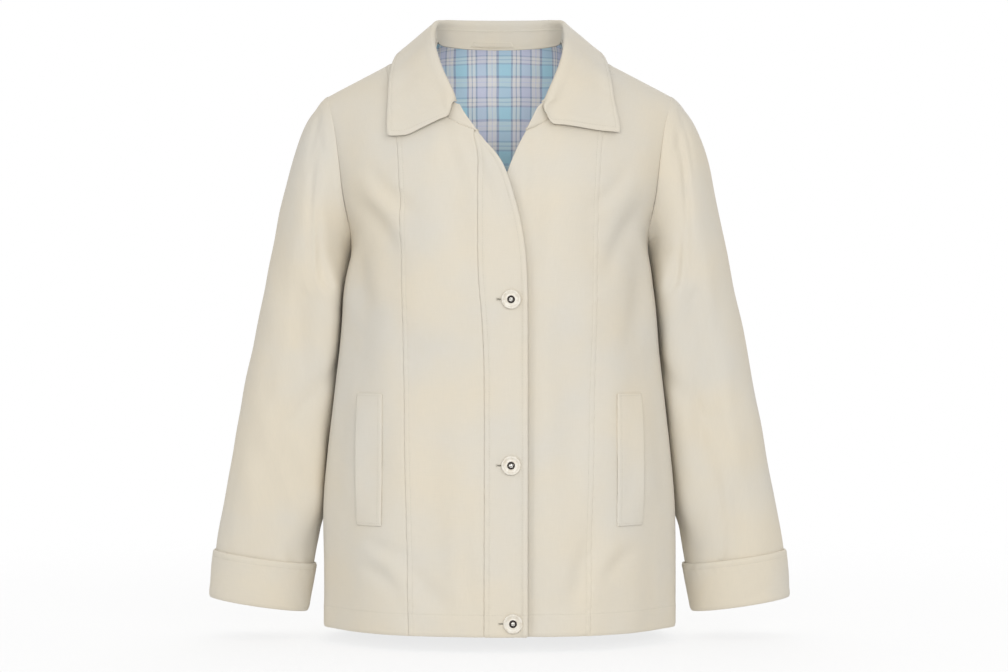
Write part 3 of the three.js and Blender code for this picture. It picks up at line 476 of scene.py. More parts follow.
def section(height, back):
    z = mix(HEM_Z, UNDERARM_Z, np.minimum(height, 1))
    rise = rise_of(height)
    power = BACK_ROUND if back else FRONT_ROUND
    full = read(BODY_ROWS, "z", "back" if back else "front", z)
    depth = full * np.maximum(1 - rise ** power, 0) ** (1 / power)
    edge_x = read(ARMHOLE_ROWS, "rise", "x", rise)
    reach = ARMHOLE_HALF_DEPTH * 2 * np.sqrt(rise * (1 - rise)) / np.maximum(depth, 1e-6)
    over_arm = edge_x / (1 - np.clip(reach, 0, 0.9999) ** SQUARENESS) ** (1 / SQUARENESS)
    half_width = np.where(rise > 0, over_arm, read(BODY_ROWS, "z", "half_width", z))
    return z, rise, depth, half_width, np.where(rise > 0, edge_x, half_width)


def body_point(height, angle, back):
    z, rise, depth, half_width, edge_x = section(height, back)
    sine, cosine = np.sin(angle), np.abs(np.cos(angle))
    x = half_width * np.sign(sine) * np.abs(sine) ** (2 / SQUARENESS)
    level = np.where(rise == 0, z, mix(UNDERARM_Z, ridge_z(x), rise))
    outward = depth * cosine ** (2 / SQUARENESS)
    fade = np.clip((edge_x - np.abs(x)) / FOLD_FADE, 0, 1) * (1 - rise ** 2)
    fold = fade * fold_depth(BACK_FOLDS if back else FRONT_FOLDS, np.abs(x), level)
    y = MID_Y + (1 if back else -1) * (outward - fold)
    return np.stack(np.broadcast_arrays(x, y, level), axis=-1)


def height_at(x, z):
    lower = (z - HEM_Z) / (UNDERARM_Z - HEM_Z)
    rise = np.clip((z - UNDERARM_Z) / (ridge_z(x) - UNDERARM_Z), 0, 1)
    return np.where(z <= UNDERARM_Z, lower, height_of_rise(rise))


def angle_at(height, x, back):
    share = np.clip(np.abs(x) / section(height, back)[3], 0, 1)
    return np.sign(x) * np.arcsin(share ** (SQUARENESS / 2))


def side_angle(height, back):
    _, rise, _, _, edge_x = section(height, back)
    return np.where(rise == 0, math.pi / 2, angle_at(height, edge_x, back))


def ridge_height(back):
    power = BACK_ROUND if back else FRONT_ROUND
    depth = read(BODY_ROWS, "z", "back" if back else "front", UNDERARM_Z)
    return float(height_of_rise((1 - (0.1 / depth) ** power) ** (1 / power)))


def on_body(x, z, face, standoff):
    """A place on the body at a flat place, moved out by a standoff; face 1 back, 0 ridge, -1 front."""
    points = np.zeros(np.shape(x) + (3,))
    for back in (False, True):
        chosen = face > 0 if back else face < 0
        height = np.minimum(height_at(x, z), ridge_height(back))
        angle = angle_at(height, x, back)
        here = body_point(height, angle, back)
        down = body_point(height - 0.002, angle, back) - here
        inner = body_point(height, angle - 0.002, back)
        across = body_point(height, np.minimum(angle + 0.002, math.pi / 2), back) - inner
        normal = unit(np.cross(across, down))
        outward = np.stack([np.sin(angle), (1 if back else -1) * np.cos(angle), 0.2 + 0 * angle], -1)
        normal = np.where((normal * outward).sum(-1, keepdims=True) < 0, -normal, normal)
        points = np.where(chosen[..., None], here + normal * standoff, points)
    ridge = np.stack([x, np.full_like(x, MID_Y), z + standoff], -1)
    return np.where((face == 0)[..., None], ridge, points)


def armhole_point(turn):
    rise = (1 + np.cos(turn)) / 2
    x = read(ARMHOLE_ROWS, "rise", "x", rise)
    y = MID_Y - ARMHOLE_HALF_DEPTH * np.sin(turn)
    return np.stack([x, y, mix(UNDERARM_Z, ridge_z(x), rise)], -1)


def smooth_sleeve(ring, turn):
    column = {name: read_rows(values, ring) for name, values in SLEEVE_ROWS.items()}
    share = (1 + np.cos(turn)) / 2
    x = mix(column["inner_x"], column["outer_x"], share)
    z = mix(column["inner_z"], column["outer_z"], share)
    y = column["mid_y"] - column["half_depth"] * np.sin(turn)
    seam = armhole_point(turn)
    first = {name: values[0] for name, values in SLEEVE_ROWS.items()}
    at_armhole = np.clip(1 - ring, 0, 1) ** 2
    x = x + (seam[..., 0] + ARMHOLE_GAP - mix(first["inner_x"], first["outer_x"], share)) * at_armhole
    z = z + (seam[..., 2] - mix(first["inner_z"], first["outer_z"], share)) * at_armhole
    return np.stack([x, y, z], -1)


# ---------------------------------------------------------------- grids of cloth

def spaced(reach, marks, coarse, fine=0.8):
    """Positions from 0 to reach, close together near the marks."""
    positions = [0.0]
    while positions[-1] < reach:
        away = min(abs(positions[-1] - mark) for mark in marks)
        positions.append(positions[-1] + min(coarse, fine + 0.4 * away))
    return np.array(positions) * reach / positions[-1]


def respaced(points, marks_low, marks_high, coarse):
    """Each row's points spread anew, keeping the distances of the marks from both ends."""
    distance = arc(points, 1)
    lengths = distance[:, -1]
    reach = (lengths.min() + lengths.max()) / 2
    position = spaced(reach, [*marks_low, *(reach - mark for mark in marks_high)], coarse)
    half = reach / 2
    rows = []
    for row, along, total in zip(points, distance, lengths):
        spare = (total - reach) / 2
        low = position + (position / half) ** 2 * spare
        back = reach - position
        high = total - back - (back / half) ** 2 * spare
        target = np.where(position <= half, low, high)
        target = mix(target, position * total / reach, smooth_step(0.72, 0.52, total / reach))
        rows.append(np.stack([np.interp(target, along, row[:, axis]) for axis in range(3)], -1))
    return np.array(rows)


class Cloth:
    """A grid of points on the face of a piece, with its ways out and distances to its edges."""

    def __init__(self, points, outward, closed=False):
        self.points = points
        self.closed = closed
        self.outward = outward
        self.renew()

    def renew(self):
        points = self.points
        up = np.gradient(points, axis=0)
        if self.closed:
            across = np.roll(points, -1, 1) - np.roll(points, 1, 1)
        else:
            across = np.gradient(points, axis=1)
        normals = unit(np.cross(across, up))
        if (normals * self.outward).sum() < 0:
            normals = -normals
        self.normals = normals
        self.left = arc(points, 1)
        self.right = self.left[:, -1:] - self.left
        self.low = arc(points, 0)
        self.high = self.low[-1:] - self.low

    def push(self, height):
        self.points = self.points + self.normals * np.asarray(height)[..., None]

    def line_up(self, distance, from_left=True, low=0.0, high=0.0):
        """Points and ways out along the rows at a distance from one side."""
        measure = self.left if from_left else self.right
        rows = []
        for row in range(len(self.points)):
            if not (self.low[row].mean() >= low and self.high[row].mean() >= high):
                continue
            order = slice(None) if from_left else slice(None, None, -1)
            if measure[row].max() < distance:
                continue
            both = np.concatenate([self.points[row], self.normals[row]], -1)[order]
            rows.append([np.interp(distance, measure[row][order], both[:, axis]) for axis in range(6)])
        return np.array(rows)

    def line_across(self, distance, from_low=True, left=0.0, right=0.0):
        """Points and ways out along the columns at a distance from the first or last row."""
        measure = self.low if from_low else self.high
        order = slice(None) if from_low else slice(None, None, -1)
        columns = []
        for column in range(self.points.shape[1]):
            both = np.concatenate([self.points[:, column], self.normals[:, column]], -1)[order]
            reach = measure[:, column][order]
            spot = int(np.argmin(np.abs(measure[:, column] - distance)))
            if self.left[spot, column] < left or self.right[spot, column] < right or reach.max() < distance:
                continue
            columns.append([np.interp(distance, reach, both[:, axis]) for axis in range(6)])
        return np.array(columns)


def swell(size, distance):
    """A soft rise of a given height and reach."""
    height, reach = size
    return height * np.exp(-(distance / reach) ** 2)


def turned_edge(distance, depth=1.0, reach=1.3):
    """A seam's edge rolls in."""
    return -depth * np.exp(-(distance / reach) ** 2)


def seam_ridge(distance):
    """The folded allowance under a topstitched seam, with the stitches' trough at its end."""
    trough = 0.34 * np.exp(-((distance - TOPSTITCH) / 0.75) ** 2)
    return 0.3 * (1 - smooth_step(TOPSTITCH - 0.8, TOPSTITCH + 2.2, distance)) - trough


def stitch_trough(distance, at, depth=0.34):
    return -depth * np.exp(-((distance - at) / 0.75) ** 2)


def pucker(distance, along, seed, height=0.22, reach=9.0):
    """Small irregular gathers beside a line of stitches."""
    rng = np.random.default_rng(seed)
    ripple = 0
    for wavelength in (9.0, 13.5, 19.0, 31.0):
        ripple = ripple + rng.uniform(0.5, 1) * np.sin(
            2 * math.pi * (along + 0.5 * distance) / wavelength + rng.uniform(0, 6.28))
    return PUCKER_SCALE * height * ripple * 0.5 * np.exp(-(distance / reach) ** 2)


def soften_underarm(points):
    """Rounds the change of slope at the level of the underarm."""
    weight = np.exp(-((points[..., 2] - UNDERARM_Z) / 42) ** 2)[1:-1, :, None]
    for _ in range(60):
        between = (points[:-2] + points[2:]) / 2
        points[1:-1] = mix(points[1:-1], between, 0.6 * weight)
    return points


def detailed(value):
    return value


# ---------------------------------------------------------------- meshes from grids

def shell(name, cloth, wall, material, rims=(1, 1, 1, 1), across=0.0):
    """A closed wall under a grid of cloth, with rounded rims: low, high, left and right."""
    outer, normals = cloth.points, cloth.normals
    rows, columns = outer.shape[:2]
    inner = outer - normals * wall
    vertices = [outer.reshape(-1, 3), inner.reshape(-1, 3)]
    number = np.arange(rows * columns).reshape(rows, columns)
    if cloth.closed:
        number = np.concatenate([number, number[:, :1]], axis=1)
    corners = (number[:-1, :-1], number[:-1, 1:], number[1:, 1:], number[1:, :-1])
    face = np.stack([corner.ravel() for corner in corners], -1)
    under = rows * columns
    faces = [face, face[:, ::-1] + under]
    low_rim, high_rim, left_rim, right_rim = rims
    loops = []
    if cloth.closed:
        ring = np.arange(columns)
        loops.append((ring, ring + columns, np.full(columns, low_rim)))
        top = (rows - 1) * columns + ring
        loops.append((top[::-1], top[::-1] - columns, np.full(columns, high_rim)))
    else:
        parts = [
            (number[0, :-1], number[1, :-1], low_rim),
            (number[:-1, -1], number[:-1, -2], right_rim),
            (number[-1, :0:-1], number[-2, :0:-1], high_rim),
            (number[:0:-1, 0], number[:0:-1, 1], left_rim),
        ]
        loops.append((
            np.concatenate([part[0] for part in parts]), np.concatenate([part[1] for part in parts]),
            np.concatenate([np.full(len(part[0]), part[2]) for part in parts])))
    count = 2 * under
    flat_outer = outer.reshape(-1, 3)
    flat_normal = normals.reshape(-1, 3)
    for edge, inside, bulge in loops:
        out = unit(flat_outer[edge] - flat_outer[inside])
        rings = [edge]
        for turn in (0.25, 0.5, 0.75):
            sink = wall / 2 * (1 - math.cos(turn * math.pi))
            reach = wall / 2 * math.sin(turn * math.pi) * bulge[:, None]
            vertices.append(flat_outer[edge] - flat_normal[edge] * sink + out * reach)
            rings.append(np.arange(count, count + len(edge)))
            count += len(edge)
        rings.append(edge + under)
        for first, second in zip(rings[:-1], rings[1:]):
            faces.append(np.stack([
                np.roll(first, -1), first, second, np.roll(second, -1)], -1))
    vertices = np.concatenate(vertices) * MM
    faces = np.concatenate(faces)
    a, b, c = (outer[0, 0], outer[0, 1], outer[1, 1])
    if np.dot(np.cross(b - a, c - a), normals[0, 0]) < 0:
        faces = faces[:, ::-1]
    weave = np.stack([cloth.left - across, cloth.low], -1).reshape(-1, 2) * MM
    rim_weave = [weave[edge] for edge, *_ in loops for _ in range(3)]
    weave = np.concatenate([weave, weave, *rim_weave])
    return cloth_mesh(name, vertices, faces, weave, material)


def cloth_mesh(name, vertices, faces, weave, material):
    mesh = bpy.data.meshes.new(name)
    mesh.from_pydata(vertices.tolist(), [], faces.tolist())
    layer = mesh.uv_layers.new(name="weave")
    corner_vertices = np.empty(len(mesh.loops), np.int32)
    mesh.loops.foreach_get("vertex_index", corner_vertices)
    layer.data.foreach_set("uv", weave[corner_vertices].astype(np.float32).ravel())
    mesh.polygons.foreach_set("use_smooth", np.ones(len(mesh.polygons), bool))
    mesh.materials.append(material)
    mesh.update()
    piece = bpy.data.objects.new(name, mesh)
    bpy.context.scene.collection.objects.link(piece)
    return piece


def settle(piece, slot, *nodes):
    """The finished piece rides with the coat and stands for its solid."""
    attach(piece, BODY)
    if nodes:
        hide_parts(*nodes)
    return piece


def declare_sheet(cloth):
    """Only closes a round grid with its first column; it works out no flat size and gives back nothing."""
    points = cloth.points
    if cloth.closed:
        points = np.concatenate([points, points[:, :1]], 1)


def finish_cloth(name, cloth, wall, node, rims=(1, 1, 1, 1), material=None,
                 slot="shell_cloth", across=0.0):
    piece = shell(name, cloth, wall, material or cloth_material(), rims, across)
    declare_sheet(cloth)
    return settle(piece, slot, node)


# ---------------------------------------------------------------- materials

class Nodes:
    """Short ways to build a node tree."""

    def __init__(self, tree):
        self.tree = tree

    def add(self, kind, values=(), **options):
        node = self.tree.nodes.new(kind)
        for option, value in options.items():
            setattr(node, option, value)
        for socket, value in dict(values).items():
            if isinstance(value, bpy.types.NodeSocket):
                self.tree.links.new(value, node.inputs[socket])
            else:
                node.inputs[socket].default_value = value
        return node

    def maths(self, operation, *values):
        return self.add("ShaderNodeMath", dict(enumerate(values)), operation=operation).outputs[0]

    def blend(self, share, a, b, blend_type="MIX"):
        node = self.add("ShaderNodeMix", {0: share, 6: a, 7: b}, data_type="RGBA", blend_type=blend_type)
        return node.outputs[2]


def fresh_material(name):
    material = bpy.data.materials.new(name)
    material.use_nodes = True
    nodes = Nodes(material.node_tree)
    shader = next(node for node in material.node_tree.nodes if node.type == "BSDF_PRINCIPLED")
    return material, nodes, shader


def threads(nodes, size, weave):
    """Height of a plain weave: two crossing sets of threads."""
    split = nodes.add("ShaderNodeSeparateXYZ", {0: weave})
    crossing = []
    for axis in (0, 1):
        angle = nodes.maths("MULTIPLY", split.outputs[axis], 2 * math.pi / size)
        crossing.append(nodes.maths("SINE", angle))
    return nodes.maths("MULTIPLY", crossing[0], crossing[1])


def cloth_material():
    """Matte stone-coloured weave with slight unevenness of yarn and dye."""
    if "stone_cloth" in bpy.data.materials:
        return bpy.data.materials["stone_cloth"]
    look = settings("coat_cloth")
    material, nodes, shader = fresh_material("stone_cloth")
    place = nodes.add("ShaderNodeTexCoord").outputs["Object"]
    weave = nodes.add("ShaderNodeUVMap", uv_map="weave").outputs[0]
    cloudy = nodes.add("ShaderNodeTexNoise", {
        "Vector": place, "Scale": 9.0, "Detail": 3.0, "Roughness": 0.5})
    long_yarns = nodes.add("ShaderNodeMapping", {"Vector": weave, "Scale": (900.0, 60.0, 1.0)})
    short_yarns = nodes.add("ShaderNodeMapping", {"Vector": weave, "Scale": (60.0, 900.0, 1.0)})
    warp = nodes.add("ShaderNodeTexNoise", {"Vector": long_yarns.outputs[0], "Scale": 1.0, "Detail": 2.0})
    weft = nodes.add("ShaderNodeTexNoise", {"Vector": short_yarns.outputs[0], "Scale": 1.0, "Detail": 2.0})
    yarn = nodes.maths("ADD", warp.outputs[0], weft.outputs[0])
    base = tuple(look.colour)
    warm = (base[0] * 1.03, base[1] * 1.0, base[2] * 0.955, 1)
    cool = (base[0] * 0.972, base[1] * 0.985, base[2] * 1.02, 1)
    dark = (base[0] * 0.90, base[1] * 0.89, base[2] * 0.875, 1)
    tone = nodes.add("ShaderNodeMapRange", {"Value": cloudy.outputs[0], 1: 0.35, 2: 0.65})
    dyed = nodes.blend(tone.outputs[0], warm, cool)
    worn = nodes.add("ShaderNodeMapRange", {"Value": yarn, 1: 0.80, 2: 1.20, 3: 0.20, 4: 0.0})
    nodes.tree.links.new(nodes.blend(worn.outputs[0], dyed, dark), shader.inputs["Base Color"])
    rough = nodes.add("ShaderNodeMapRange", {"Value": yarn, 1: 0.7, 2: 1.3, 3: 0.80, 4: 0.92})
    nodes.tree.links.new(rough.outputs[0], shader.inputs["Roughness"])
    grain = nodes.maths("ADD", threads(nodes, look.weave, weave), nodes.maths("MULTIPLY", yarn, 1.6))
    bump = nodes.add("ShaderNodeBump", {"Height": grain, "Strength": 0.35, "Distance": 0.00006})
    slub = nodes.add("ShaderNodeTexNoise", {
        "Vector": place, "Scale": 160.0, "Detail": 3.0, "Roughness": 0.6})
    soft = nodes.add("ShaderNodeBump", {
        "Height": slub.outputs[0], "Strength": 0.25, "Distance": 0.0004, "Normal": bump.outputs[0]})
    nodes.tree.links.new(soft.outputs[0], shader.inputs["Normal"])
    shader.inputs["Specular IOR Level"].default_value = 0.25
    shader.inputs["Sheen Weight"].default_value = 0.08
    shader.inputs["Sheen Roughness"].default_value = 0.5
    return material


def thread_material():
    if "thread" in bpy.data.materials:
        return bpy.data.materials["thread"]
    material, nodes, shader = fresh_material("thread")
    place = nodes.add("ShaderNodeTexCoord").outputs["Object"]
    twist = nodes.add("ShaderNodeTexNoise", {"Vector": place, "Scale": 1500.0, "Detail": 1.0})
    base = tuple(settings("coat_stitching").colour)
    dark = (base[0] * 0.8, base[1] * 0.8, base[2] * 0.8, 1)
    nodes.tree.links.new(nodes.blend(twist.outputs[0], dark, base), shader.inputs["Base Color"])
    shader.inputs["Roughness"].default_value = 0.6
    shader.inputs["Specular IOR Level"].default_value = 0.3
    return material


# One repeat of the check, as widths of stripe: the sum is the whole repeat.
CHECK = [
    ("line", 2), ("blue", 15), ("line", 2), ("light", 4), ("line", 1), ("light", 4), ("line", 2),
    ("lilac", 11), ("line", 2), ("light", 5), ("lilac", 1), ("light", 5), ("line", 1),
]
CHECK_START = (0.04, 0.31)  # of a repeat, across and along, at the middle and the hem of the back


def check_material():
    """Woven check: the same stripes across and along, each thread set showing half."""
    look = settings("coat_lining")
    material, nodes, shader = fresh_material("woven_check")
    weave = nodes.add("ShaderNodeUVMap", uv_map="weave").outputs[0]
    wobble = nodes.add("ShaderNodeTexNoise", {"Vector": weave, "Scale": 40.0, "Detail": 1.0})
    split = nodes.add("ShaderNodeSeparateXYZ", {0: weave})
    total = sum(width for _, width in CHECK)
    sets = []
    for axis in (0, 1):
        moved = nodes.maths("ADD", split.outputs[axis], nodes.maths("MULTIPLY", wobble.outputs[0], 0.0012))
        start = CHECK_START[axis]
        place = nodes.maths("FRACT", nodes.maths("ADD", nodes.maths("DIVIDE", moved, look.repeat), start))
        ramp = nodes.add("ShaderNodeValToRGB", {0: place})
        ramp.color_ramp.interpolation = "LINEAR"
        stops = ramp.color_ramp.elements
        start = 0.0
        first = True
        for name, width in CHECK:
            shade = tuple(getattr(look, name))
            edge = min(0.35, width / 4)
            for where in (start + edge, start + width - edge):
                stop = stops[0] if first else stops.new(min(where / total, 1.0))
                if first:
                    stop.position = where / total
                    stops.remove(stops[1])
                    first = False
                stop.color = shade
            start += width
        sets.append(ramp.outputs[0])
    crossed = nodes.blend(0.38, sets[0], sets[1])
    thread = threads(nodes, 0.0005, weave)
    # Painted shade: the low places between the threads are mixed toward dark blue.
    thread_hollow_shade = nodes.add("ShaderNodeMapRange", {"Value": thread, 1: -1.0, 2: 1.0, 3: 0.10, 4: 0.0})
    shaded = nodes.blend(thread_hollow_shade.outputs[0], crossed, (0.12, 0.13, 0.2, 1))
    nodes.tree.links.new(shaded, shader.inputs["Base Color"])
    bump = nodes.add("ShaderNodeBump", {"Height": thread, "Strength": 0.3, "Distance": 0.00006})
    nodes.tree.links.new(bump.outputs[0], shader.inputs["Normal"])
    shader.inputs["Roughness"].default_value = 0.82
    shader.inputs["Specular IOR Level"].default_value = 0.25
    shader.inputs["Sheen Weight"].default_value = 0.1
    return material


def resin_material():
    """Pale button resin with faint clouds like horn."""
    material, nodes, shader = fresh_material("pale_resin")
    place = nodes.add("ShaderNodeTexCoord").outputs["Object"]
    cloud = nodes.add("ShaderNodeTexNoise", {
        "Vector": place, "Scale": 210.0, "Detail": 4.0, "Distortion": 0.8})
    base = tuple(settings("coat_buttons").resin)
    vein = (base[0] * 0.84, base[1] * 0.80, base[2] * 0.74, 1)
    share = nodes.add("ShaderNodeMapRange", {"Value": cloud.outputs[0], 1: 0.42, 2: 0.7})
    nodes.tree.links.new(nodes.blend(share.outputs[0], base, vein), shader.inputs["Base Color"])
    wear = nodes.add("ShaderNodeMapRange", {"Value": cloud.outputs[0], 3: 0.28, 4: 0.42})
    nodes.tree.links.new(wear.outputs[0], shader.inputs["Roughness"])
    shader.inputs["Specular IOR Level"].default_value = 0.5
    return material


def metal_material(name, base, roughness):
    material, nodes, shader = fresh_material(name)
    place = nodes.add("ShaderNodeTexCoord").outputs["Object"]
    scuff = nodes.add("ShaderNodeTexNoise", {"Vector": place, "Scale": 900.0, "Detail": 2.0})
    light = (base[0] * 1.6, base[1] * 1.6, base[2] * 1.6, 1)
    nodes.tree.links.new(nodes.blend(scuff.outputs[0], tuple(base), light), shader.inputs["Base Color"])
    rough = nodes.add("ShaderNodeMapRange", {"Value": scuff.outputs[0], 3: roughness, 4: roughness + 0.15})
    nodes.tree.links.new(rough.outputs[0], shader.inputs["Roughness"])
    shader.inputs["Metallic"].default_value = 1.0
    return material


# ---------------------------------------------------------------- stitching

def stitch_tree():
    """Geometry nodes: thread stitches laid end to end along lines on the cloth."""
    if "stitches" in bpy.data.node_groups:
        return bpy.data.node_groups["stitches"]
    tree = bpy.data.node_groups.new("stitches", "GeometryNodeTree")
    face = tree.interface
    face.new_socket("Lines", in_out="INPUT", socket_type="NodeSocketGeometry")
    face.new_socket("Pitch", in_out="INPUT", socket_type="NodeSocketFloat")
    face.new_socket("Thread", in_out="INPUT", socket_type="NodeSocketFloat")
    face.new_socket("Material", in_out="INPUT", socket_type="NodeSocketMaterial")
    face.new_socket("Stitches", in_out="OUTPUT", socket_type="NodeSocketGeometry")
    nodes = Nodes(tree)
    given = nodes.add("NodeGroupInput").outputs
    curve = nodes.add("GeometryNodeMeshToCurve", {0: given["Lines"]})
    along = nodes.add("GeometryNodeResampleCurve", {"Curve": curve.outputs[0], "Length": given["Pitch"]},
                      mode="LENGTH")
    away = nodes.add("GeometryNodeInputNamedAttribute", {"Name": "away"}, data_type="FLOAT_VECTOR")
    tangent = nodes.add("GeometryNodeInputTangent")
    turn = nodes.add("FunctionNodeAxesToRotation", {
        "Primary Axis": away.outputs[0], "Secondary Axis": tangent.outputs[0]},
        primary_axis="Z", secondary_axis="X")
    grain = nodes.add("GeometryNodeMeshUVSphere", {"Segments": 6, "Rings": 4, "Radius": 1.0})
    half = nodes.maths("MULTIPLY", given["Pitch"], 0.41)
    wide = nodes.maths("MULTIPLY", given["Thread"], 0.5)
    flat = nodes.maths("MULTIPLY", given["Thread"], 0.42)
    size = nodes.add("ShaderNodeCombineXYZ", {0: half, 1: wide, 2: flat})
    laid = nodes.add("GeometryNodeInstanceOnPoints", {
        "Points": along.outputs[0], "Instance": grain.outputs[0],
        "Rotation": turn.outputs[0], "Scale": size.outputs[0]})
    real = nodes.add("GeometryNodeRealizeInstances", {0: laid.outputs[0]})
    smooth = nodes.add("GeometryNodeSetShadeSmooth", {0: real.outputs[0]})
    painted = nodes.add("GeometryNodeSetMaterial", {
        "Geometry": smooth.outputs[0], "Material": given["Material"]})
    result = nodes.add("NodeGroupOutput")
    tree.links.new(painted.outputs[0], result.inputs[0])
    return tree


def sew(name, lines, lift=0.05):
    """Stitches along lines; each line is rows of a point and the way out of the cloth there."""
    lines = [line for line in lines if len(line) > 2]
    points, edges, ways = [], [], []
    count = 0
    for line in lines:
        points.append(line[:, :3] + line[:, 3:] * lift)
        ways.append(line[:, 3:])
        numbers = np.arange(count, count + len(line))
        edges.append(np.stack([numbers[:-1], numbers[1:]], -1))
        count += len(line)
    mesh = bpy.data.meshes.new(name + "_lines")
    mesh.from_pydata((np.concatenate(points) * MM).tolist(), np.concatenate(edges).tolist(), [])
    away = mesh.attributes.new("away", "FLOAT_VECTOR", "POINT")
    away.data.foreach_set("vector", np.concatenate(ways).astype(np.float32).ravel())
    guide = bpy.data.objects.new(name + "_lines", mesh)
    bpy.context.scene.collection.objects.link(guide)
    look = settings("coat_stitching")
    modifier = guide.modifiers.new("stitches", "NODES")
    modifier.node_group = stitch_tree()
    values = {"Pitch": look.pitch, "Thread": look.thread, "Material": thread_material()}
    for item in modifier.node_group.interface.items_tree:
        if item.in_out == "INPUT" and item.name in values:
            modifier[item.identifier] = values[item.name]
    graph = bpy.context.evaluated_depsgraph_get()
    graph.update()
    sewn = bpy.data.meshes.new_from_object(guide.evaluated_get(graph))
    guide.modifiers.clear()
    bpy.data.objects.remove(guide)
    sewn.name = name
    piece = bpy.data.objects.new(name, sewn)
    bpy.context.scene.collection.objects.link(piece)
    return settle(piece, "shell_cloth")


# ---------------------------------------------------------------- fronts

def front_relief(x, z):
    """Height of the front's small creases and waves at flat places."""
    look = settings("coat_cloth")
    total = FRONT_CREASE_SCALE * look.creases * crease_height(FRONT_CREASES, x, z)
    return total + look.unevenness / MM * waves(x, z, 11) * smooth_step(-30, -110, z)


def back_relief(x, z):
    look = settings("coat_cloth")
    total = look.creases * crease_height(BACK_CREASES, x, z)
    return total + 1.2 * look.unevenness / MM * waves(x, z, 23) * smooth_step(0, -70, z)


def body_heights(back):
    """Row heights from the hem to the ridge, close together at the hem's stitches."""
    lower = spaced(UNDERARM_Z - HEM_Z, [0, HEM_STITCHES - 1.5, HEM_STITCHES + 1.5], detailed(3.2))
    heights = list(lower[:-1] / (UNDERARM_Z - HEM_Z))
    top = ridge_height(back)
    upper = np.linspace(1, top, detailed(112))
    fine_top = top - (top - upper[-2]) * np.array([0.75, 0.5, 0.25, 0.1])
    return np.array([*heights, *upper[:-1], *fine_top, top])


def princess_angle(height):
    def inside(x):
        z = body_point(height, angle_at(height, x, False), False)[..., 2]
        return x < read(PRINCESS_ROWS, "z", "x", z)
    low, high = np.full_like(height, 60.0), np.full_like(height, 180.0)
    return angle_at(height, bisect(inside, low, high), False)


def neck_place(side, station):
    neck_x = COLLAR_ROWS["neck_x"].copy()
    neck_z = COLLAR_ROWS["neck_z"].copy()
    if side == "left":
        neck_x[7:], neck_z[8] = (57, 32), -116
    x = read_rows(neck_x, np.minimum(station, NECK_POINT_STATION))
    z = -2 * (1 - (x / NECK_POINT_X) ** 2)
    along = np.maximum(station - NECK_POINT_STATION, 0)
    front_x = read_rows(neck_x[NECK_POINT_STATION:], along)
    front_z = read_rows(neck_z[NECK_POINT_STATION:], along)
    in_front = station > NECK_POINT_STATION
    return np.where(in_front, front_x, x), np.where(in_front, front_z, z)


def front_boundary(edge_rows, side):
    curve_x, curve_z = neck_place(side, np.linspace(STAND_END, NECK_POINT_STATION, 200))
    top_z = edge_rows["z"][-1]

    def boundary(z):
        return np.where(z <= top_z, read(edge_rows, "z", "x", z), np.interp(z, curve_z, curve_x))
    return boundary


def boundary_angle(height, boundary):
    def inside(x):
        return x < boundary(body_point(height, angle_at(height, x, False), False)[..., 2])
    low, high = np.full_like(height, -40.0), np.full_like(height, 90.0)
    return angle_at(height, bisect(inside, low, high), False)


def front_heights(edge_rows):
    heights = body_heights(False)
    corner = height_at(edge_rows["x"][-1], edge_rows["z"][-1])
    heights[np.argmin(np.abs(heights - corner))] = corner
    return heights


def between(heights, start, end, count=150):
    """Grid of the front from one run of angles to another, before its points are spread anew."""
    share = np.linspace(0, 1, count)
    angles = start[:, None] + (end - start)[:, None] * share
    return soften_underarm(body_point(heights[:, None], angles, False))


def outward_from_axis(points):
    axis = np.zeros_like(points)
    axis[..., 1] = -15
    axis[..., 2] = np.minimum(points[..., 2], -110)
    return points - axis


def mirrored(points, sign):
    return points * np.array([sign, 1, 1])


def laid_out(points, sign, marks_low, marks_high, coarse):
    points = mirrored(respaced(points, marks_low, marks_high, detailed(coarse)), sign)
    return Cloth(points, outward_from_axis(points))


def hem_profile(cloth):
    """Turned-up hem: rounded fold below, doubled cloth, and its line of stitches."""
    low = cloth.low
    doubled = 1 - smooth_step(HEM_STITCHES - 1, HEM_STITCHES + 2, low)
    return (turned_edge(low, 0.9, 1.6) + 0.3 * doubled + stitch_trough(low, HEM_STITCHES, 0.3)
            + pucker(np.abs(low - HEM_STITCHES), cloth.left, 5, 0.14, 7))


def front_side(side, sign):
    heights = front_heights(LEFT_EDGE_ROWS if side == "left" else PLACKET_SEAM_ROWS)
    points = between(heights, princess_angle(heights), side_angle(heights, False))
    cloth = laid_out(points, sign, (0,), (0,), 3.0)
    x, z = cloth.points[..., 0], cloth.points[..., 2]
    fade = smooth_step(0, 26, cloth.right)
    top = smooth_step(0, 3, cloth.high)
    height = front_relief(x, z) * fade + hem_profile(cloth) * smooth_step(0, 4, cloth.left)
    corner = swell(SIDE_CORNER_SWELL, cloth.right - SIDE_CORNER_AT)
    height = height + corner * smooth_step(-212, -290, z)
    height = height + turned_edge(cloth.left, 0.3, 1.1) + turned_edge(cloth.right, 0.15, 1.5)
    height = height + pucker(cloth.left, cloth.low, 31 + sign, 0.16) * top + turned_edge(cloth.high, 0.4)
    cloth.push(height)
    cloth.renew()
    finish_cloth(f"cloth_front_side_{side}", cloth, settings("coat_cloth").wall / MM,
                 f"front_side_{side}", rims=(1, 0, 0, 0))
    return [cloth.line_across(HEM_STITCHES, left=1, right=1)]


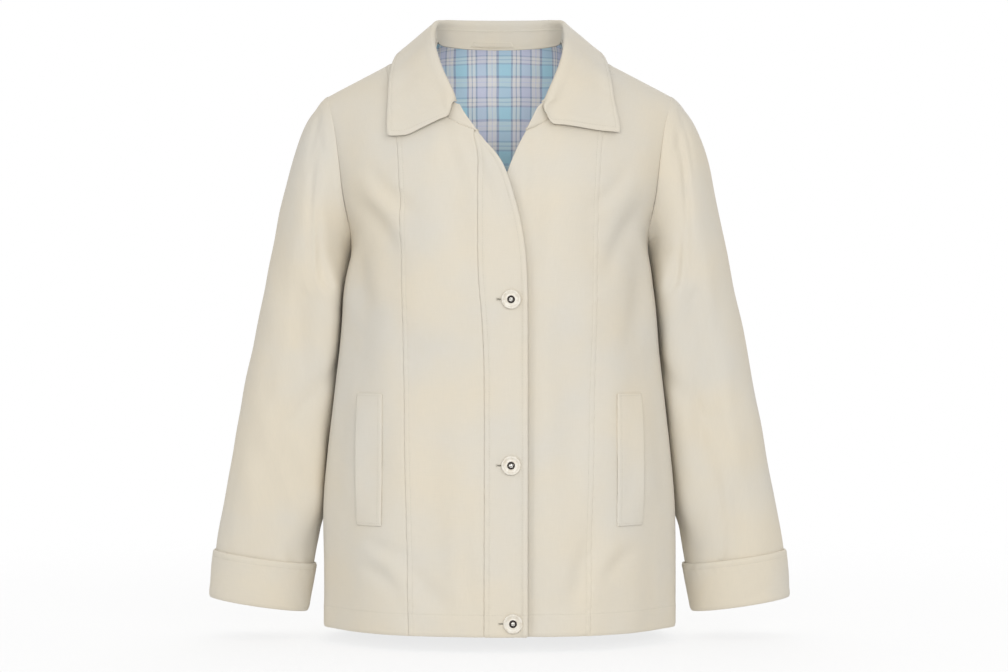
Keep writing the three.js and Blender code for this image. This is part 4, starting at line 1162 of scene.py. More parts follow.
def front_centre(side, sign):
    is_left = side == "left"
    edge_rows = LEFT_EDGE_ROWS if is_left else PLACKET_SEAM_ROWS
    heights = front_heights(edge_rows)
    start = boundary_angle(heights, front_boundary(edge_rows, side))
    points = between(heights, start, princess_angle(heights))
    if is_left:
        drop = smooth_step(0, 1, np.clip((62 - points[..., 0]) / 28, 0, 1))
        points[..., 1] += UNDERLAP * drop
    else:
        points = mirrored(opened_neck(mirrored(points, -1)), -1)
    cloth = laid_out(points, sign, (0,), (0, TOPSTITCH), 2.6)
    x, z = cloth.points[..., 0], cloth.points[..., 2]
    top = smooth_step(0, 3, cloth.high)
    calm = 1 if not is_left else smooth_step(10, 60, x)
    height = front_relief(x, z) * calm + hem_profile(cloth) * smooth_step(0, 4, cloth.right)
    height = height + turned_edge(cloth.right, 0.3, 1.1) + seam_ridge(cloth.right) * top
    height = height + pucker(cloth.right, cloth.low, 41 + sign, 0.2) * top + turned_edge(cloth.high, 0.4)
    height = height + turned_edge(cloth.left, 0.5, 1.1)
    if is_left:
        beside = x + read(RIGHT_EDGE_ROWS, "z", "x", z) - 1.0
        height = height - swell(UNDERLAP_HOLLOW, beside) * smooth_step(-150, -190, z)
    else:
        height = height + pucker(cloth.left, cloth.low, 47, 0.14)
    cloth.push(height)
    cloth.renew()
    rims = (1, 0, 0, 1) if is_left else (1, 0, 0, 0)
    finish_cloth(f"cloth_front_centre_{side}", cloth, settings("coat_cloth").wall / MM,
                 f"front_centre_{side}", rims=rims)
    return [
        cloth.line_across(HEM_STITCHES, left=1, right=1),
        cloth.line_up(TOPSTITCH, from_left=False, high=1.5)]


def placket():
    heights = front_heights(PLACKET_SEAM_ROWS)
    corner = height_at(PLACKET_SEAM_ROWS["x"][-1], PLACKET_SEAM_ROWS["z"][-1])
    heights = heights[heights <= corner + 1e-9]
    seam = boundary_angle(heights, front_boundary(PLACKET_SEAM_ROWS, "right"))
    edge = boundary_angle(heights, lambda z: read(RIGHT_EDGE_ROWS, "z", "x", z))
    points = mirrored(opened_neck(mirrored(between(heights, edge, seam, count=80), -1)), -1)
    cloth = laid_out(points, -1, (0, 3.6, 6.6), (0, TOPSTITCH), 2.2)
    x, z = cloth.points[..., 0], cloth.points[..., 2]
    height = front_relief(x, z) * smooth_step(0, 9, cloth.left) + hem_profile(cloth)
    wide = smooth_step(5, 24, cloth.left + cloth.right)
    height = height + turned_edge(cloth.left, 0.8, 1.4)
    height = height + stitch_trough(cloth.left, PLACKET_STITCHES, 0.4) * wide
    height = height + swell(PLACKET_EDGE_LIFT, cloth.left) * wide
    height = height + turned_edge(cloth.right, 0.5, 1.1) + stitch_trough(cloth.right, TOPSTITCH, 0.6)
    height = height + pucker(cloth.left, cloth.low, 61, 0.2, 12) + pucker(cloth.right, cloth.low, 62, 0.22)
    for place_x, place_z in BUTTON_PLACES.values():
        near = np.hypot(x - place_x + 8, (z - place_z) * 1.6)
        height = height - swell(BUTTON_HOLLOW, near)
    cloth.push(height + 0.25 * wide - 0.6 * (1 - wide))
    cloth.renew()
    finish_cloth("cloth_placket_right", cloth, 2.2, "placket_right",
                 rims=(1, 0, 1, 0))
    return [
        cloth.line_up(PLACKET_STITCHES, high=18), cloth.line_up(TOPSTITCH, from_left=False, high=14),
        cloth.line_across(HEM_STITCHES, left=1)]


def front_spot(x, z, lift=0.0):
    """A point on the creased front and the way out there."""
    x, z = np.asarray(x, float), np.asarray(z, float)
    face = np.full_like(x, -1.0)
    base = on_body(np.abs(x), z, face, 0.0)
    out = unit(on_body(np.abs(x), z, face, 1.0) - base)
    sign = np.where(x < 0, -1.0, 1.0)[..., None] * np.array([1, 0, 0]) + np.array([0, 1, 1])
    base, out = base * sign, out * sign
    return base + out * (front_relief(x, z) + lift)[..., None], out


def pocket_welt(side, sign):
    low, high = POCKET["bottom_z"], POCKET["top_z"]
    inner, outer = POCKET["inner_x"], POCKET["outer_x"]
    tall, wide = high - low, outer - inner
    end_marks = [0, POCKET_END_STITCHES, tall - POCKET_END_STITCHES, tall]
    z = low + spaced(tall, end_marks, detailed(2.4), 0.7)
    x = inner + spaced(wide, [0, POCKET_STITCHES, wide], detailed(1.8), 0.6)
    grid_z, grid_x = np.meshgrid(z, x, indexing="ij")
    bow = 1 - ((grid_z - (low + high) / 2) / (tall / 2)) ** 2
    share = (grid_x - inner) / wide
    gape = POCKET["gape"] * share ** 3 * bow
    points, out = front_spot(grid_x * sign, grid_z, 0.5 + POCKET["wall"])
    points = points + out * gape[..., None]
    points[..., 0] -= sign * 0.7 * bow * share
    cloth = Cloth(points, out)
    ends = np.minimum(cloth.low, cloth.high)
    edge = np.minimum(cloth.left, cloth.right)
    height = turned_edge(ends, 0.6, 1.0) + turned_edge(edge, 0.5, 1.0)
    height = height + stitch_trough(cloth.left, POCKET_STITCHES, 0.28)
    height = height + stitch_trough(ends, POCKET_END_STITCHES, 0.25)
    height = height + pucker(cloth.left, cloth.low, 71 + sign, 0.16, 8)
    height = height + 0.22 * waves(grid_x, grid_z, 75 + sign, 14, 60)
    cloth.push(height)
    cloth.renew()
    finish_cloth(f"cloth_pocket_welt_{side}", cloth, POCKET["wall"] - 0.1, f"pocket_welt_{side}")
    return [
        cloth.line_up(POCKET_STITCHES, low=POCKET_END_STITCHES, high=POCKET_END_STITCHES),
        cloth.line_across(POCKET_END_STITCHES, left=1.5, right=1.5),
        cloth.line_across(POCKET_END_STITCHES, from_low=False, left=1.5, right=1.5)]


# ---------------------------------------------------------------- back and lining

def back_half_points(heights, column_count):
    """Grid of the wearer's left half of the back, cut away at the neck."""
    top = ridge_height(True)
    neck_share = np.linspace(0, 1, column_count // 2)
    side_share = np.linspace(0, 1, column_count)[1:]

    def neck_angle(height, share):
        edge_x = section(height, True)[4]
        return angle_at(height, NECK_POINT_X * edge_x / SHOULDER_POINT_X * share, True)

    def below_neck(height):
        point = body_point(height, neck_angle(height, neck_share), True)
        return point[..., 2] < -2 * (1 - (point[..., 0] / NECK_POINT_X) ** 2)
    tops = bisect(below_neck, np.ones_like(neck_share), np.full_like(neck_share, top))
    tops = np.concatenate([tops, np.full(len(side_share), top)])
    tops[len(neck_share) - 1] = top
    level = heights[:, None]
    height = np.where(level <= 1, level, mix(1, tops[None], (level - 1) / (top - 1)))
    first = neck_angle(height[:, :len(neck_share)], neck_share[None])
    beyond = height[:, len(neck_share):]
    start = neck_angle(beyond, 1.0)
    second = start + (side_angle(beyond, True) - start) * side_share[None]
    points = body_point(height, np.concatenate([first, second], 1), True)
    return soften_underarm(points)


def make_back():
    heights = body_heights(True)
    points = respaced(back_half_points(heights, 90), (60,), (0,), detailed(3.4))
    points = np.concatenate([mirrored(points, -1)[:, :0:-1], points], 1)
    cloth = Cloth(points, outward_from_axis(points))
    x, z = points[..., 0], points[..., 2]
    side = np.minimum(cloth.left, cloth.right)
    height = back_relief(x, z) * smooth_step(0, 26, side) + hem_profile(cloth)
    height = height + turned_edge(side, 0.15, 1.5) + turned_edge(cloth.high, 0.4)
    cloth.push(height)
    cloth.renew()
    finish_cloth("cloth_back", cloth, settings("coat_cloth").wall / MM, "back", rims=(1, 0, 0, 0))
    return [cloth.line_across(HEM_STITCHES, left=1, right=1)]


def make_lining():
    heights = body_heights(True)
    points = back_half_points(heights, 60)
    keep = points[:, 0, 2] > LINING_HEM_Z
    points = respaced(points[keep], (0,), (0,), detailed(4.5))[:, :-1]
    points = np.concatenate([mirrored(points, -1)[:, :0:-1], points], 1)
    cloth = Cloth(points, outward_from_axis(points))
    middle = points.shape[1] // 2
    relief = back_relief(points[..., 0], points[..., 2])
    side = np.minimum(cloth.left, cloth.right)
    cloth.push(relief * smooth_step(0, 26, side) * 0.9 - SHELL_WALL - 1.1 + 0.25 * waves(
        points[..., 0], points[..., 2], 91, 20, 80) * smooth_step(0, 25, side))
    cloth.renew()
    finish_cloth("lining_of_back", cloth, 0.6, "lining_back", material=check_material(),
                 slot="check_lining", rims=(1, 0, 0, 0),
                 across=cloth.left[:, middle:middle + 1])


# ---------------------------------------------------------------- sleeves and cuffs

def sleeve_points(ring, columns):
    turn = (np.arange(columns) / columns - 0.5) * 2 * math.pi
    return smooth_sleeve(ring[:, None], turn[None]), turn


def sleeve_outward(points, ring):
    middle_x = (read_rows(SLEEVE_ROWS["outer_x"], ring) + read_rows(SLEEVE_ROWS["inner_x"], ring)) / 2
    middle_z = (read_rows(SLEEVE_ROWS["outer_z"], ring) + read_rows(SLEEVE_ROWS["inner_z"], ring)) / 2
    middle = np.stack([middle_x, read_rows(SLEEVE_ROWS["mid_y"], ring), middle_z], -1)
    return points - middle[:, None]


def sleeve_relief(side, turn, ring, along):
    """Main folds and small creases of a sleeve; turn in radians."""
    look = settings("coat_cloth")
    fade = np.clip(ring / 0.6, 0, 1) * np.clip((9.3 - ring) / 0.8, 0, 1)
    main = [
        (math.radians(from_turn) * SLEEVE_ROUND, from_ring * SLEEVE_ROUND,
         math.radians(to_turn) * SLEEVE_ROUND, to_ring * SLEEVE_ROUND, width, depth)
        for from_turn, from_ring, to_turn, to_ring, width, depth in SLEEVE_FOLDS]
    small = [
        (math.radians(from_turn) * SLEEVE_ROUND, from_down,
         math.radians(to_turn) * SLEEVE_ROUND, to_down, width, depth, bow)
        for from_turn, from_down, to_turn, to_down, width, depth, bow in SLEEVE_CREASES[side]]
    height = -SLEEVE_FOLD_SCALE * fade * fold_depth(main, turn * SLEEVE_ROUND, ring * SLEEVE_ROUND)
    for lap in (-1, 0, 1):
        shifted = turn * SLEEVE_ROUND + lap * 2 * math.pi * SLEEVE_ROUND
        height = height + look.creases * crease_height(small, shifted, along) * np.clip(ring / 0.3, 0, 1)
    around = SLEEVE_ROUND * np.sin(turn), SLEEVE_ROUND * np.cos(turn)
    wave = waves(along * 0.5 + around[0], along + around[1], 101 if side == "left" else 107)
    return height + 1.3 * look.unevenness / MM * wave * np.clip(ring / 0.4, 0, 1)


def between_levels(levels, z):
    """1 between the middle two levels, and 0 above the first and below the last."""
    top, full_from, full_to, bottom = levels
    return smooth_step(top, full_from, z) * smooth_step(bottom, full_to, z)


def lean_on_body(points):
    """The inner side of the hanging sleeve is pressed flat and rests against the coat's side."""
    x, y, z = np.moveaxis(points, -1, 0)
    middle_x, middle_y = (x.max(1) + x.min(1)) / 2, (y.max(1) + y.min(1)) / 2
    half_x, half_y = np.ptp(x, axis=1) / 2, np.ptp(y, axis=1) / 2
    run = (x - middle_x[:, None]) / half_x[:, None]
    rise = (y - middle_y[:, None]) / half_y[:, None]
    reach = np.maximum(np.hypot(run, rise), 1e-6)
    power = SLEEVE_INNER_SQUARENESS
    corner = (np.abs(run / reach) ** power + np.abs(rise / reach) ** power) ** (-1 / power) - 1
    inner = smooth_step(0.1, -0.5, run) * between_levels(SLEEVE_FLAT_LEVELS, z)
    inner = inner * smooth_step(0.7, 0.2, rise)
    x = x + (x - middle_x[:, None]) * corner * inner
    y = y + (y - middle_y[:, None]) * corner * inner
    points = np.stack([x, y, z], -1)
    height = np.clip((z - HEM_Z) / (UNDERARM_Z - HEM_Z), 0, 1)
    angle = bisect(
        lambda value: body_point(height, value, True)[..., 1] > y, 0 * z, 0 * z + math.pi / 2)
    room = x - body_point(height, angle, True)[..., 0] + SLEEVE_PRESS
    share = np.exp(-((y - SLEEVE_CONTACT_Y) / SLEEVE_CONTACT_REACH) ** 2)
    share = share * between_levels(SLEEVE_LEAN_LEVELS, z)
    pull = np.maximum(room, 0) * share * smooth_step(30, 9, room)
    return points - pull[..., None] * np.array([1, 0, 0])


def with_allowance(points, normals):
    """Adds the seam allowance that runs on inside the armhole, below the coat's own cloth."""
    inward = unit(points[0] - points[1])
    rows = [points[0] + inward * reach - normals[0] * sink for reach, sink in ALLOWANCE_ROWS]
    return np.concatenate([np.array(rows), points])


def make_sleeve(side, sign):
    full = LAST_RING * SLEEVE_ROUND
    reach = spaced(full, [0, full], detailed(3.0), 1.0) / SLEEVE_ROUND
    columns = detailed(132)
    points, turn = sleeve_points(reach, columns)
    base = Cloth(points, sleeve_outward(points, reach), closed=True)
    ring = np.repeat(reach[:, None], columns, 1)
    turns = np.repeat(turn[None], len(reach), 0)
    height = sleeve_relief(side, turns, ring, base.low) + turned_edge(base.low, 0.12, 1.6)
    head = swell(SLEEVE_HEAD_SWELL, base.low - SLEEVE_HEAD_AT)
    height = height + head * smooth_step(0.2, 0.9, np.cos(turns))
    base.push(height)
    base.points = with_allowance(lean_on_body(base.points), base.normals)
    base.points = mirrored(base.points, sign)
    base.outward = np.concatenate([base.outward[:1], base.outward[:1], base.outward])
    base.outward = mirrored(base.outward, sign)
    base.renew()
    finish_cloth(f"cloth_sleeve_{side}", base, settings("coat_cloth").wall / MM, f"sleeve_{side}",
                 rims=(0, 1, 0, 0))


def make_cuff(side, sign):
    start = LAST_RING - CUFF_DEPTH / LAST_RING_SPACING
    reach = start + spaced(
        CUFF_DEPTH, [0, CUFF_STITCHES, CUFF_DEPTH], detailed(2.2), 0.6) / LAST_RING_SPACING
    reach[-1] = LAST_RING
    columns = detailed(150)
    points, turn = sleeve_points(reach, columns)
    base = Cloth(points, sleeve_outward(points, reach), closed=True)
    turns = np.repeat(turn[None], len(reach), 0)
    share = np.repeat(np.linspace(0, 1, len(reach))[:, None], columns, 1)
    down = base.low
    seed = 131 if side == "left" else 137
    round_turn = SLEEVE_ROUND * np.sin(turns), SLEEVE_ROUND * np.cos(turns)
    gape = 0.9 * (1 - share) * (1 + 0.55 * waves(round_turn[0], round_turn[1], seed + 2, 60, 150))
    height = 3.2 + gape + turned_edge(down, 0.7, 1.1) + turned_edge(base.high, 0.8, 1.8)
    height = height + stitch_trough(down, CUFF_STITCHES, 0.3) + 0.35 * waves(
        round_turn[0] + 0.5 * down, round_turn[1] + down, seed, 12, 46) * smooth_step(0, 10, base.high)
    height = height + pucker(np.abs(down - CUFF_STITCHES), turns * SLEEVE_ROUND, seed, 0.15, 8)
    base.push(height)
    base.points = mirrored(base.points, sign)
    base.outward = mirrored(base.outward, sign)
    base.renew()
    finish_cloth(f"cloth_cuff_{side}", base, 2.6, f"cuff_{side}")
    line = base.line_across(CUFF_STITCHES)
    return [np.concatenate([line, line[:1]])]


# ---------------------------------------------------------------- collar

def collar_column(side, name, place):
    values = COLLAR_ROWS[name].copy()
    if side == "left":
        if name == "roll_x":
            values += LEFT_ROLL_SPREAD
        if name == "edge_x":
            values += LEFT_EDGE_SPREAD
        if name == "edge_z":
            values = np.maximum(values, LEFT_POINT_Z)
        if name == "roll_z":
            values[8] = -81
    return values if place is None else read_rows(values, place)


def body_top_z(x, y):
    """Level of the coat above a place near the shoulder seam."""
    found = np.full(x.shape, -1e4)
    reach = np.abs(y - MID_Y)
    for back in (False, True):
        def outside(z):
            height = height_at(x, z)
            return np.abs(body_point(height, angle_at(height, x, back), back)[..., 1] - MID_Y) > reach
        level = bisect(outside, np.full_like(x, UNDERARM_Z), ridge_z(x) - 0.001)
        chosen = ((y > MID_Y) if back else (y <= MID_Y)) & (reach <= SHOULDER_FLAT)
        found = np.where(chosen, level, found)
    return found


def collar_lines(side, station):
    """Neck seam, roll and free edge of the collar at stations counted from the centre back."""
    x, z = neck_place(side, station)
    face = np.where(station < NECK_POINT_STATION, 1.0, -1.0)
    neck = on_body(x, np.minimum(z, ridge_z(x) - 0.001), face, 0.0)
    roll = np.stack([collar_column(side, name, station) for name in ("roll_x", "roll_y", "roll_z")], -1)
    corners = on_body(
        collar_column(side, "edge_x", None), collar_column(side, "edge_z", None), COLLAR_ROWS["face"],
        LEAF_STANDOFF + SHELL_WALL)
    edge = np.stack([read_rows(corners[:, axis], station) for axis in range(3)], -1)
    top = body_top_z(edge[..., 0], edge[..., 1]) + LEAF_STANDOFF + SHELL_WALL
    edge[..., 2] = np.maximum(edge[..., 2], top)
    return neck, roll, edge


def stand_outward(side, station):
    small = 0.05
    _, low, _ = collar_lines(side, np.maximum(station - small, 0))
    _, high, _ = collar_lines(side, np.minimum(station + small, STAND_END))
    along = high - low
    along[station < small] = (1, 0, 0)
    neck, roll, _ = collar_lines(side, station)
    outward = unit(np.cross(along, roll - neck))
    away = roll * np.array([1, 1, 0])
    return np.where((outward * away).sum(-1, keepdims=True) < 0, -outward, outward)


def stand_share(station):
    toward_tab = np.clip((station - LEAF_END + 1.5) / 1.6, 0, 1)
    return mix(STAND_SHARE, 1, toward_tab ** 2)[..., None]


def opened_neck(points):
    """The right side of the neckline lies a little further out than its seam pattern."""
    x, y, z = np.moveaxis(points, -1, 0)
    below, edge_x = np.array(OPEN_NECK_EDGE).T
    edge = np.interp(-z, below, edge_x)
    share = smooth_step(-70, -92, z) * smooth_step(-158, -122, z) * np.exp(-((x - edge) / 26) ** 2)
    share = share * smooth_step(-40, -70, y)
    return points - (NECK_SPREAD * share)[..., None] * np.array([1, 0, 0])


def both_halves(maker, last_station, count):
    """Rows of the collar from the right front round the back to the left front."""
    station = np.linspace(0, last_station, count)
    right = mirrored(maker("right", station), -1)
    left = maker("left", station)
    return np.concatenate([right[::-1], left[1:]])


def rounded_path(points):
    """A smooth curve through each row's corner points, even in length."""
    steps = np.linalg.norm(np.diff(points, axis=1), axis=-1, keepdims=True)
    steps = np.maximum(steps, 1e-6)
    slopes = np.diff(points, axis=1) / steps
    before, after = steps[:, :-1], steps[:, 1:]
    middle = (slopes[:, :-1] * after + slopes[:, 1:] * before) / (before + after)
    tangents = np.concatenate([slopes[:, :1], middle, slopes[:, -1:]], 1)
    pieces = []
    for k in range(points.shape[1] - 1):
        t = np.linspace(0, 1, 12, endpoint=False)[None, :, None]
        a, b = points[:, k:k + 1], points[:, k + 1:k + 2]
        span = steps[:, k:k + 1]
        straight = (b - a) / span
        bend = t * (1 - t) * span * (
            (1 - t) * (tangents[:, k:k + 1] - straight) - t * (tangents[:, k + 1:k + 2] - straight))
        pieces.append(mix(a, b, t) + bend)
    pieces.append(points[:, -1:])
    return np.concatenate(pieces, 1)


def leaf_corner_points(side, station):
    neck, roll, edge = collar_lines(side, station)
    outward = stand_outward(side, station)
    seam = mix(neck, roll, stand_share(station))
    gap = 0.3 / np.linalg.norm(seam - roll, axis=-1, keepdims=True)
    riser_start = mix(seam, roll, gap) - outward * SHELL_WALL
    riser_top = mix(roll - outward * SHELL_WALL, riser_start, 0.25)
    roll_top = roll + outward * ROLL_WIDTH * 0.25
    fall_start = mix(roll, neck, 0.12) + outward * ROLL_WIDTH
    control = mix(fall_start, edge, 0.35) + outward * 3 + np.array([0, 0, -2.0])
    fall = [mix(mix(fall_start, control, t), mix(control, edge, t), t) for t in (0, 0.2, 0.4, 0.6, 0.8, 1)]
    bend = smooth_step(LEAF_END - LEAF_FRONT_REACH, LEAF_END, station)[:, None]
    front = np.array([
        on_body(
            np.array([place_x]), np.array([place_z]), np.array([-1.0]),
            LEAF_STANDOFF + SHELL_WALL + lift)
        for place_x, place_z, lift in LEAF_FRONT[side]])
    for place, point in enumerate(front, 1):
        fall[place] = mix(fall[place], point, bend)
    return np.stack([riser_start, riser_top, roll_top, *fall], 1)


def make_leaf():
    """The collar leaf, with even rows along its edge, close together at both front ends."""
    corners = both_halves(leaf_corner_points, LEAF_END, detailed(150))
    edge_run = arc(corners[:, -3], 0)
    even = spaced(edge_run[-1], [0, TOPSTITCH, edge_run[-1] - TOPSTITCH, edge_run[-1]],
                  detailed(2.6), 0.8)
    flat = corners.reshape(len(corners), -1)
    corners = np.stack([np.interp(even, edge_run, flat[:, k]) for k in range(flat.shape[1])], -1)
    corners = corners.reshape(len(even), -1, 3)
    points = respaced(rounded_path(corners), (0, 12), (0, TOPSTITCH), detailed(2.4))
    x, y, z = np.moveaxis(points, -1, 0)
    level, reach = np.array(LEFT_FRONT_END).T
    near = np.exp(-((x - 57) / 13) ** 2) * smooth_step(30, 45, x) * smooth_step(-95, -108, y)
    points[..., 0] -= np.interp(z, level, reach) * near
    points = opened_neck(points)
    outward = np.zeros_like(points)
    outward[:, -8:] = outward_from_axis(points)[:, -8:]
    cloth = Cloth(points, outward)
    ends = np.minimum(cloth.low, cloth.high)
    edge = cloth.right
    free = smooth_step(16, 30, cloth.left)
    height = turned_edge(edge, 0.6, 1.1) + turned_edge(ends, 0.6, 1.1)
    height = height + stitch_trough(edge, TOPSTITCH, 0.32) + stitch_trough(ends, TOPSTITCH, 0.32) * free
    height = height + pucker(np.abs(edge - TOPSTITCH), cloth.low, 151, 0.17, 8) * free
    height = height + 0.5 * waves(cloth.low * 0.6, cloth.left, 157, 26, 90) * free
    front = free * smooth_step(20, -60, points[..., 1])
    height = height + (swell(LEAF_EDGE_LIFT, edge) + swell(LEAF_END_LIFT, ends)) * front
    height = height + crease_height(LEAF_CREASES, cloth.low, cloth.left) * free
    cloth.push(height)
    cloth.renew()
    finish_cloth("cloth_collar_leaf", cloth, 1.7, "collar_leaf")
    return [
        cloth.line_across(TOPSTITCH, left=26, right=TOPSTITCH),
        cloth.line_across(TOPSTITCH, from_low=False, left=26, right=TOPSTITCH),
        cloth.line_up(TOPSTITCH, from_left=False, low=TOPSTITCH, high=TOPSTITCH)]


def stand_points(side, station):
    neck, roll, _ = collar_lines(side, station)
    top = mix(neck, roll, stand_share(station))
    bottom = mix(neck, top, 0.3 / np.linalg.norm(neck - top, axis=-1, keepdims=True))
    share = np.array([0, 0.05, 0.12, 0.25, 0.4, 0.55, 0.7, 0.83, 0.92, 0.97, 1])[None, :, None]
    return mix(bottom[:, None], top[:, None], share)


# Top corner of each front tab, and how far it is tucked behind the leaf's roll.
TAB_CORNERS = [((48, -114, -81.5), (6.5, 2.5, -1.5)), ((-48, -112, -82.5), (-4.5, 2.5, -1.5))]


def make_stand():
    points = both_halves(stand_points, STAND_END, detailed(170))
    for corner, way in TAB_CORNERS:
        near = np.exp(-(np.linalg.norm(points - np.array(corner), axis=-1) / 6) ** 2)
        points = points + near[..., None] * np.array(way)
    tucked = points[:, :1] + unit(points[:, :1] - points[:, 1:2]) * 2.2
    tucked = tucked - unit(points[:, :1] * np.array([1, 1, 0])) * 1.6
    points = opened_neck(np.concatenate([tucked, points], 1))
    outward = points * np.array([1, 1, 0])
    cloth = Cloth(points, outward)
    edge = np.minimum(np.abs(cloth.left - 2.7), cloth.right)
    ends = np.minimum(cloth.low, cloth.high)
    height = turned_edge(edge, 0.25, 1.0) + turned_edge(ends, 0.4, 1.2)
    height = height + 0.25 * waves(cloth.low, cloth.left, 163, 18, 60) * smooth_step(0, 5, edge)
    cloth.push(height)
    cloth.renew()
    finish_cloth("cloth_collar_stand", cloth, SHELL_WALL, "collar_stand")
    inside = []
    for distance, from_left in ((1.6, True), (1.6, False)):
        line = cloth.line_up(distance, from_left=from_left, low=3, high=3)
        under = line.copy()
        under[:, :3] -= line[:, 3:] * SHELL_WALL
        under[:, 3:] *= -1
        inside.append(under)
    return inside


def make_loop():
    """Hanger loop in the back neck seam, lying against the stand."""
    across = np.linspace(-1, 1, detailed(40))
    rise = np.array([0, 0.08, 0.2, 0.35, 0.5, 0.65, 0.8, 0.92, 1])
    rows = []
    stations = np.linspace(0, NECK_POINT_STATION, 400)
    neck_x = read_rows(COLLAR_ROWS["neck_x"], stations)
    for share in rise:
        reach = across * (LOOP["length"] / 2 - share * LOOP["slant"])
        x = LOOP["middle_x"] + reach
        station = np.interp(np.abs(x), neck_x, stations)
        neck, roll, _ = collar_lines("right", station)
        outward = stand_outward("right", station)
        up = (0.9 + share * LOOP["height"]) / np.linalg.norm(neck - roll, axis=-1, keepdims=True)
        bow = (1 - across ** 2)[:, None]
        point = mix(neck, roll, up) - outward * (SHELL_WALL + 0.8 + 0.9 * bow)
        flip = np.where(x < 0, -1.0, 1.0)[:, None] * np.array([1, 0, 0]) + np.array([0, 1, 1])
        rows.append((point * flip, outward * flip))
    points = np.array([row[0] for row in rows])
    inward = -np.array([row[1] for row in rows])
    cloth = Cloth(points, inward)
    edge = np.minimum(np.minimum(cloth.left, cloth.right), np.minimum(cloth.low, cloth.high))
    cloth.push(turned_edge(edge, 0.3, 0.7))
    cloth.renew()
    finish_cloth("cloth_hanger_loop", cloth, 1.1, "hanger_loop")
    return [cloth.line_across(1.4, from_low=low, left=1, right=1) for low in (True, False)]


# ---------------------------------------------------------------- buttons and buttonholes

BUTTON_PROFILE = [  # share of the radius, height in millimetres, finish
    (0, 0, 0), (0.88, 0, 0), (0.965, 0.25, 0), (1.0, 0.9, 0), (1.0, 2.2, 0), (0.975, 2.9, 0),
    (0.92, 3.3, 0), (0.86, 3.4, 0), (0.80, 3.25, 0), (0.74, 2.85, 0), (0.66, 2.65, 0), (0.40, 2.55, 0),
    (0.365, 2.75, 1), (0.345, 3.05, 1), (0.30, 3.2, 1), (0.255, 3.05, 1), (0.22, 2.6, 1),
    (0.19, 2.1, 1), (0.135, 2.1, 2), (0.125, 2.6, 2), (0.09, 2.85, 2), (0, 2.95, 2),
]


def button_mesh(name, centre, out, finishes):
    radius = settings("coat_buttons").diameter / MM / 2
    side_way = unit(np.cross(out, np.array([0, 0, 1.0])))
    up_way = np.cross(side_way, out)
    sides = 48
    turn = np.arange(sides) / sides * 2 * math.pi
    around = np.cos(turn)[:, None] * side_way + np.sin(turn)[:, None] * up_way
    vertices, rings = [], []
    for share, height, _ in BUTTON_PROFILE:
        if share == 0:
            rings.append([len(vertices)])
            vertices.append(centre + out * height)
            continue
        rings.append(list(range(len(vertices), len(vertices) + sides)))
        vertices.extend(centre + out * height + around * radius * share)
    faces, finish = [], []
    for k, (low, high) in enumerate(zip(rings[:-1], rings[1:])):
        for i in range(sides):
            j = (i + 1) % sides
            if len(low) == 1:
                face = (low[0], high[j], high[i])
            elif len(high) == 1:
                face = (low[i], low[j], high[0])
            else:
                face = (low[i], low[j], high[j], high[i])
            faces.append(face)
            finish.append(BUTTON_PROFILE[k + 1][2])
    mesh = bpy.data.meshes.new(name)
    mesh.from_pydata([tuple(vertex * MM) for vertex in vertices], [], faces)
    for material in finishes:
        mesh.materials.append(material)
    mesh.polygons.foreach_set("material_index", np.array(finish, np.int32))
    mesh.polygons.foreach_set("use_smooth", np.ones(len(faces), bool))
    mesh.update()
    top_face = mesh.polygons[len(faces) - 1]
    if np.dot(np.array(top_face.normal), out) < 0:
        mesh.flip_normals()
    piece = bpy.data.objects.new(name, mesh)
    bpy.context.scene.collection.objects.link(piece)
    return piece


def beads(name, starts, ends, width, material):
    """Short rounded threads from starts to ends, as one mesh."""
    sides = 6
    turn = np.arange(sides) / sides * 2 * math.pi
    vertices, faces = [], []
    for start, end in zip(starts, ends):
        way = unit(end - start)
        side_way = unit(np.cross(way, np.array([0.31, -0.8, 0.52])))
        up_way = np.cross(way, side_way)
        around = np.cos(turn)[:, None] * side_way + np.sin(turn)[:, None] * up_way
        base = len(vertices)
        for share, swell in ((0.0, 0.45), (0.15, 1.0), (0.85, 1.0), (1.0, 0.45)):
            vertices.extend(mix(start, end, share) + around * swell * width / 2)
        for ring in range(3):
            for i in range(sides):
                j = (i + 1) % sides
                low, high = base + ring * sides, base + (ring + 1) * sides
                faces.append((low + i, low + j, high + j, high + i))
        faces.append(tuple(base + i for i in reversed(range(sides))))
        faces.append(tuple(base + 3 * sides + i for i in range(sides)))
    mesh = bpy.data.meshes.new(name)
    mesh.from_pydata([tuple(vertex * MM) for vertex in vertices], [], faces)
    mesh.polygons.foreach_set("use_smooth", np.ones(len(faces), bool))
    mesh.materials.append(material)
    mesh.update()
    piece = bpy.data.objects.new(name, mesh)
    bpy.context.scene.collection.objects.link(piece)
    return piece


def buttonhole_threads(points, out, across):
    """Close stitches on both sides of a slit that runs along the points."""
    starts, ends = [], []
    for side in (-1, 1):
        starts.extend(points + across * side * 0.35 + out * 0.3)
        ends.extend(points + across * side * 1.35 + out * 0.25)
    return starts, ends


# Painted shadow: a dark, mottled material for thin strips that stand for the shade inside each buttonhole
# slit.
def slit_shadow_material():
    if "dark_gap" in bpy.data.materials:
        return bpy.data.materials["dark_gap"]
    material, nodes, shader = fresh_material("dark_gap")
    place = nodes.add("ShaderNodeTexCoord").outputs["Object"]
    shadow_mottle = nodes.add("ShaderNodeTexNoise", {"Vector": place, "Scale": 1200.0})
    shade = nodes.blend(shadow_mottle.outputs[0], (0.03, 0.027, 0.022, 1), (0.09, 0.08, 0.065, 1))
    nodes.tree.links.new(shade, shader.inputs["Base Color"])
    shader.inputs["Roughness"].default_value = 0.9
    return material


# ---------------------------------------------------------------- stage

